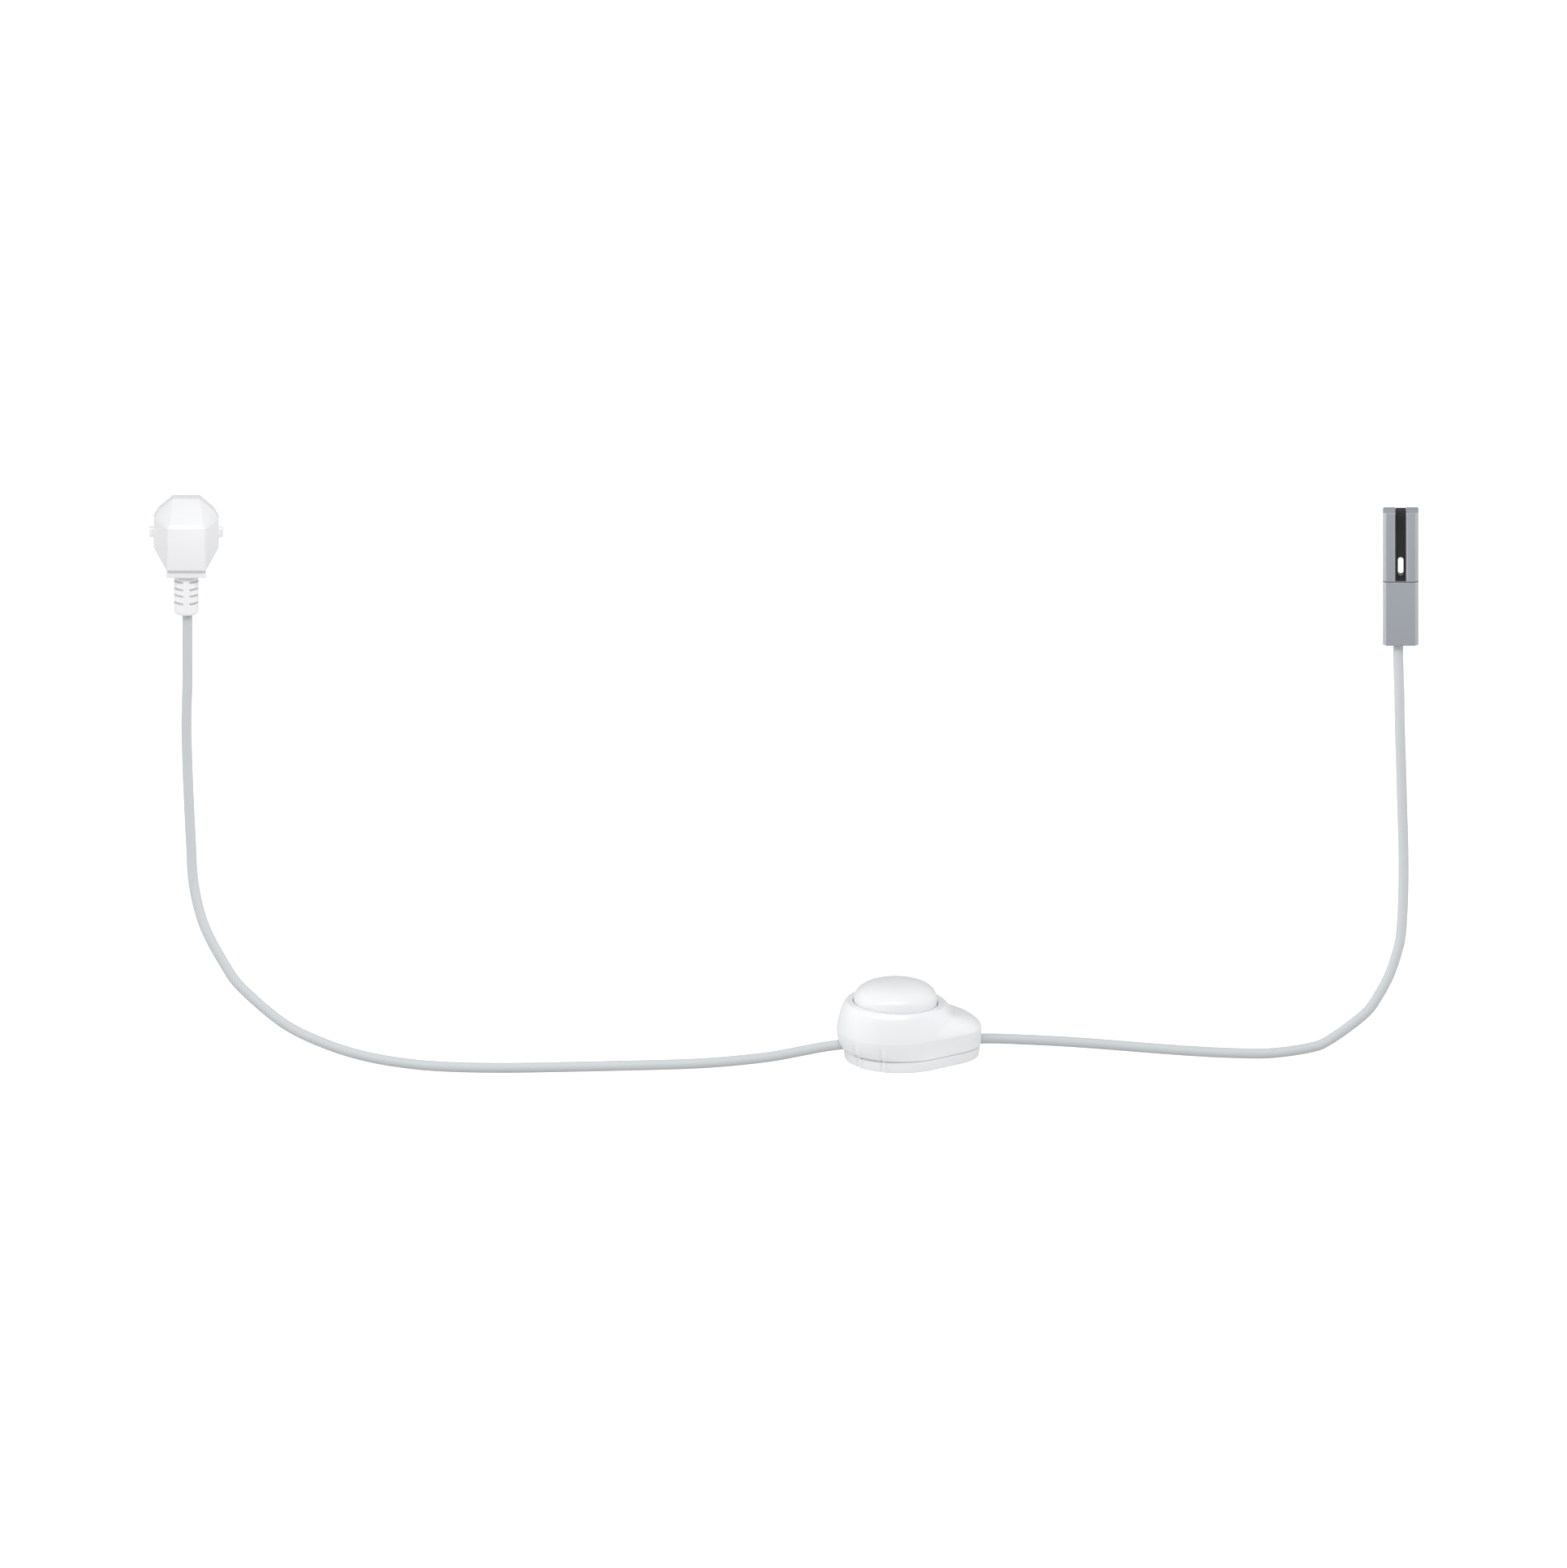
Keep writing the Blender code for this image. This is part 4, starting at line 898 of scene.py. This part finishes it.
def disc_outline(shrink=0.0):
    """The plug's outline: flats about a circle, drawn in by about shrink."""
    share = 1 - shrink / DISC_RADIUS
    return [(x * share, z * share) for x, z in DISC_CORNERS]


def prism(name, sections):
    """A closed loft through outlines of (x, z), each at its own y."""
    rings = [[(x, y, z) for x, z in outline] for y, outline in sections]
    return loft(name, rings, (0, 0, 0), looped=False)


def plug_back():
    """The moulded body: facets from the disc up to the block, the collar and side tabs."""
    block = [
        (x, -BLOCK_DEPTH + y, z)
        for x, y, z in (
            (-9.6, 0.0, 8.8), (9.6, 0.0, 8.8), (-10.5, 1.2, 8.0), (10.5, 1.2, 8.0),
            (-9.6, 0.0, -15.0), (9.6, 0.0, -15.0), (-10.5, 1.2, -16.0), (10.5, 1.2, -16.0),
            (-9.0, 2.2, 10.2), (9.0, 2.2, 10.2),
        )
    ]
    disc = [(x, y, z) for y in (-FACE_PLATE - PLATE_STEP, -DISC_DEPTH) for x, z in DISC_CORNERS]
    body = bevel(hull("plug_back", disc + block), 0.3, 3, 9)
    collar = bevel(box("collar", (-10.8, -31.5, -20.2), (10.8, -13.0, -16.2)), 0.4)
    neck = box("neck", (-10.2, -30.9, -17.5), (10.2, -13.6, -14.0))
    foot = [(x, y, -19.6) for x in (-10.1, 10.1) for y in (-30.7, -13.8)]
    for turn in np.linspace(0, 2 * math.pi, 48, endpoint=False):
        x, y = SLEEVE_RADIUS * math.cos(turn), SLEEVE_Y + SLEEVE_RADIUS * math.sin(turn)
        foot.append((x, y, SLEEVE_TOP + 0.1))
    taper = bevel(hull("taper", foot), 0.5, 3)
    tabs = bevel(box("tabs", (-20.2, -9.8, -4.0), (20.2, -5.8, 1.4)), 0.9)
    combine(body, "UNION", [neck, collar, taper, tabs])
    finished(body, "white_plug", "plug_body")


def plug_front():
    """The face plate, with a step between it and the body, and a recess about each pin."""
    sections = [
        (0.0, disc_outline(1.2)), (-0.15, disc_outline(0.75)), (-0.5, disc_outline(0.3)),
        (-1.2, disc_outline(0.0)), (-FACE_PLATE, disc_outline(0.0)),
    ]
    plate = prism("plug_front", sections)
    cutters = []
    for side in (-1, 1):
        x = side * PIN_X
        cutters.append(rod(f"way_{side}", (x, -9, 0), (x, 2, 0), PIN_RADIUS + PIN_FIT))
        cutters.append(rod(f"lead_in_{side}", (x, -0.5, 0), (x, 1.0, 0), 3.1, end_radius=4.3))
    combine(plate, "DIFFERENCE", cutters)
    finished(plate, "white_plug", "plug_face")


def plug_pins():
    """Two round pins with rounded tips, drawn along +Y from inside the plate."""
    tip = cad_box("pin_left")[1].y
    corner = (PIN_RADIUS - PIN_TIP_ROUND, tip - PIN_TIP_ROUND)
    profile = [(0, tip), *arc(corner, PIN_TIP_ROUND, 90, 0, 12)]
    profile += [(PIN_RADIUS, -FACE_PLATE), (0, -FACE_PLATE)]
    for node, side in (("pin_left", -1), ("pin_right", 1)):
        pin = turned(f"plug_{node}", profile, (side * PIN_X, 0, 0), (0, 1, 0), steps=64)
        finished(pin, "pin_metal", node)


def plug_sleeve():
    """A rubber sleeve, softened at its end, with four rows of slots and whole front and back."""
    low, high = cad_box("plug_bend_relief")[0].z, SLEEVE_TOP
    lip = SLEEVE_LIP
    profile = [(0, high), (SLEEVE_RADIUS - 0.3, high), (SLEEVE_RADIUS, high - 0.3)]
    profile += arc((SLEEVE_RADIUS - lip, low + lip), lip, 0, -90, 12)
    profile.append((0, low))
    origin = (0, SLEEVE_Y, 0)
    sleeve = turned("plug_sleeve", profile, origin, steps=128)
    cutters = []
    half = SLOT_HEIGHT / 2
    for level in SLOT_LEVELS:
        for side in (-1, 1):
            inner, outer = side * (SPINE_HALF + half), side * 9.0
            left, right = sorted((inner, outer))
            name = f"slot_{side}_{level}"
            slot = box(name, (left, -9, level - half), (right, 9, level + half), origin)
            nose = rod(f"{name}_nose", (inner, -9, level), (inner, 9, level), half, origin, sides=32)
            cutters.append(combine(slot, "UNION", [nose]))
    combine(sleeve, "DIFFERENCE", cutters)
    core = rod("core", (0, 0, low + 2.4), (0, 0, high - 0.5), SLEEVE_CORE, origin, sides=64)
    combine(sleeve, "UNION", [core])
    x, y = PLUG_CORD_ROUTE[0][0], PLUG_CORD_ROUTE[0][1] - SLEEVE_Y
    mouth = rod("mouth", (x, y, low - 2), (x, y, low + 2.0), CORD_RADIUS + 0.12, origin)
    combine(sleeve, "DIFFERENCE", [mouth])
    finished(sleeve, "relief_rubber", "plug_bend_relief")


# Track connector -------------------------------------------------------------------------


def extrusion(name, outline, low, high, width=0.0):
    """An outline of (x, y) drawn along Z, with its end edges rounded over by width."""
    solid = loft(name, [[(x, y, z) for x, y in outline] for z in (low, high)], (0, 0, 0), False)
    return bevel(solid, width, 4, 60) if width else solid


def connector_outline(front, back, chamfer, back_round):
    """An outline with these chamfers at its front corners and this rounding behind."""
    left, right = TRACK_X - TRACK_HALF, TRACK_X + TRACK_HALF
    points = [(left + chamfer, front), (left, front + chamfer)] if chamfer else [(left, front)]
    if back_round:
        points += arc((left + back_round, back - back_round), back_round, 180, 90, 6)
        points += arc((right - back_round, back - back_round), back_round, 90, 0, 6)
    else:
        points += [(left, back), (right, back)]
    if chamfer:
        return points + [(right, front + chamfer), (right - chamfer, front)]
    return [*points, (right, front)]


def oblong_way(name, half_width):
    """The oblong hole, which goes right through the connector along Y."""
    low, high = HOLE_LOW + HOLE_HALF, HOLE_HIGH - HOLE_HALF
    body = box(name, (TRACK_X - half_width, -16, low), (TRACK_X + half_width, 6, high))
    ends = [
        rod(f"{name}_{z}", (TRACK_X, -15, z), (TRACK_X, 5, z), half_width) for z in (low, high)
    ]
    return combine(body, "UNION", ends)


def channel_lip(clearance=0.0):
    """The low and high corners of the channel's lip, which covers the end of the rail's web."""
    low = (TRACK_X - CHANNEL_HALF - clearance, CHANNEL_FLOOR_Y, TRACK_HIGH.z - 1.0 - clearance)
    if clearance:
        return low, (TRACK_X + CHANNEL_HALF + clearance, TRACK_HIGH.y + 3, TRACK_HIGH.z + 3)
    return low, (TRACK_X + CHANNEL_HALF, TRACK_HIGH.y - 0.3, TRACK_HIGH.z - 0.3)


def track_body():
    """The grey rail end: a U about the black channel, softly chamfered along its mouth."""
    low, high = TRACK_LOW, TRACK_HIGH
    outline = connector_outline(low.y, high.y, EDGE_CHAMFER, BACK_ROUND)
    rail = extrusion("track_body", outline, low.z, high.z, 0.5)
    slot = CHANNEL_HALF + INSERT_FIT
    floor_y = CHANNEL_FLOOR_Y + CHANNEL_WALL + INSERT_FIT
    lip = [
        (TRACK_X - slot, floor_y), (TRACK_X + slot, floor_y),
        (TRACK_X + slot, low.y + MOUTH_CHAMFER), (TRACK_X + slot + MOUTH_WIDTH, low.y - 0.02),
        (TRACK_X + slot + MOUTH_WIDTH, low.y - 2), (TRACK_X - slot - MOUTH_WIDTH, low.y - 2),
        (TRACK_X - slot - MOUTH_WIDTH, low.y - 0.02), (TRACK_X - slot, low.y + MOUTH_CHAMFER),
    ]
    cutters = [extrusion("mouth", lip, CHANNEL_LOW - INSERT_FIT, high.z + 3)]
    top = cad_box("contact_blade_left")[1].z + 0.3
    for side in (-1, 1):
        x, half = TRACK_X + side * BLADE_X, BLADE_WAY_HALF
        cutters.append(box(f"way_{side}", (x - half, -8.8, -27.0), (x + half, -3.7, top)))
    cutters.append(oblong_way("rail_hole", HOLE_HALF + INSERT_FIT))
    cutters.append(box("lip_seat", *channel_lip(0.1)))
    combine(rail, "DIFFERENCE", cutters)
    finished(rail, "grey_track", "connector_rail")


def track_channel():
    """The black channel, open at the front and the top, with the oblong hole in its floor."""
    low = (TRACK_X - CHANNEL_HALF, TRACK_LOW.y + 0.3, CHANNEL_LOW)
    high = (TRACK_X + CHANNEL_HALF, CHANNEL_FLOOR_Y + CHANNEL_WALL, TRACK_HIGH.z - 0.9)
    insert = box("track_channel", low, high)
    inner = CHANNEL_HALF - CHANNEL_WALL
    cutter = box(
        "way",
        (TRACK_X - inner, TRACK_LOW.y - 2, CHANNEL_LOW + CHANNEL_WALL),
        (TRACK_X + inner, CHANNEL_FLOOR_Y, TRACK_HIGH.z + 3),
    )
    combine(insert, "DIFFERENCE", [bevel(cutter, 0.35, 3), oblong_way("hole", HOLE_HALF)])
    combine(insert, "UNION", [box("lip", *channel_lip())])
    bevel(insert, 0.12, 2, 40)
    finished(insert, "black_channel", "connector_insert")


def chamber_cuts(name):
    """The chamber's hollow and the way for its cord, cut from both of its halves."""
    half = TRACK_HALF - CHAMBER_WALL
    low = (TRACK_X - half, TRACK_LOW.y + 1.4, CHAMBER_LOW + 1.5)
    high = (TRACK_X + half, -1.5, CHAMBER_HIGH - 1.8)
    x, y, _ = TRACK_CORD_ROUTE[-1]
    return [
        box(f"{name}_hollow", low, high),
        rod(f"{name}_way", (x, y, CHAMBER_LOW - 5), (x, y, CHAMBER_LOW + 4), CORD_RADIUS + 0.25),
    ]


def track_chamber():
    """The back half, with the posts that the cord's clamp is screwed to."""
    low, high = cad_box("connector_chamber")
    outline = connector_outline(low.y, high.y, 0.0, BACK_ROUND)
    chamber = extrusion("track_chamber", outline, CHAMBER_LOW, CHAMBER_HIGH)
    combine(chamber, "DIFFERENCE", chamber_cuts("back"))
    posts, ways = [], []
    wide, tall = POST_HALF
    for node in ("connector_clamp_screw_left", "connector_clamp_screw_right"):
        x, _, z = middle(node)
        post = box(f"{node}_post", (x - wide, low.y, z - tall), (x + wide, -1.0, z + tall))
        posts.append(post)
        ways.append(rod(f"{node}_way", (x, -9, z), (x, -3.2, z), 1.1))
    combine(chamber, "UNION", posts)
    combine(chamber, "DIFFERENCE", ways)
    finished(chamber, "grey_track", "connector_chamber")


def track_cover():
    """The front half, which shows as one plain face with soft edges."""
    back = cad_box("connector_cover")[1].y
    outline = connector_outline(TRACK_LOW.y, back, EDGE_CHAMFER, 0.0)
    cover = extrusion("track_cover", outline, CHAMBER_LOW, CHAMBER_HIGH, 0.4)
    combine(cover, "DIFFERENCE", chamber_cuts("front"))
    finished(cover, "grey_track", "connector_cover")


# CAD nodes that stay ---------------------------------------------------------------------


def dress_cad_nodes():
    """The record's own material slot for each CAD node, through its material slots."""
    slots = {row["node"]: row["material_slot"] for row in frame["record"]["subparts"]}
    for node, obj in frame["nodes"].items():
        finish = MATERIALS[slots[node]]
        if not obj.material_slots:
            obj.data.materials.append(finish)
        for slot in obj.material_slots:
            slot.material = finish


camera()
switch_top()
switch_bottom()
button()
return_spring()
plug_back()
plug_front()
plug_pins()
plug_sleeve()
track_body()
track_channel()
track_chamber()
track_cover()
cords()
dress_cad_nodes()
studio()
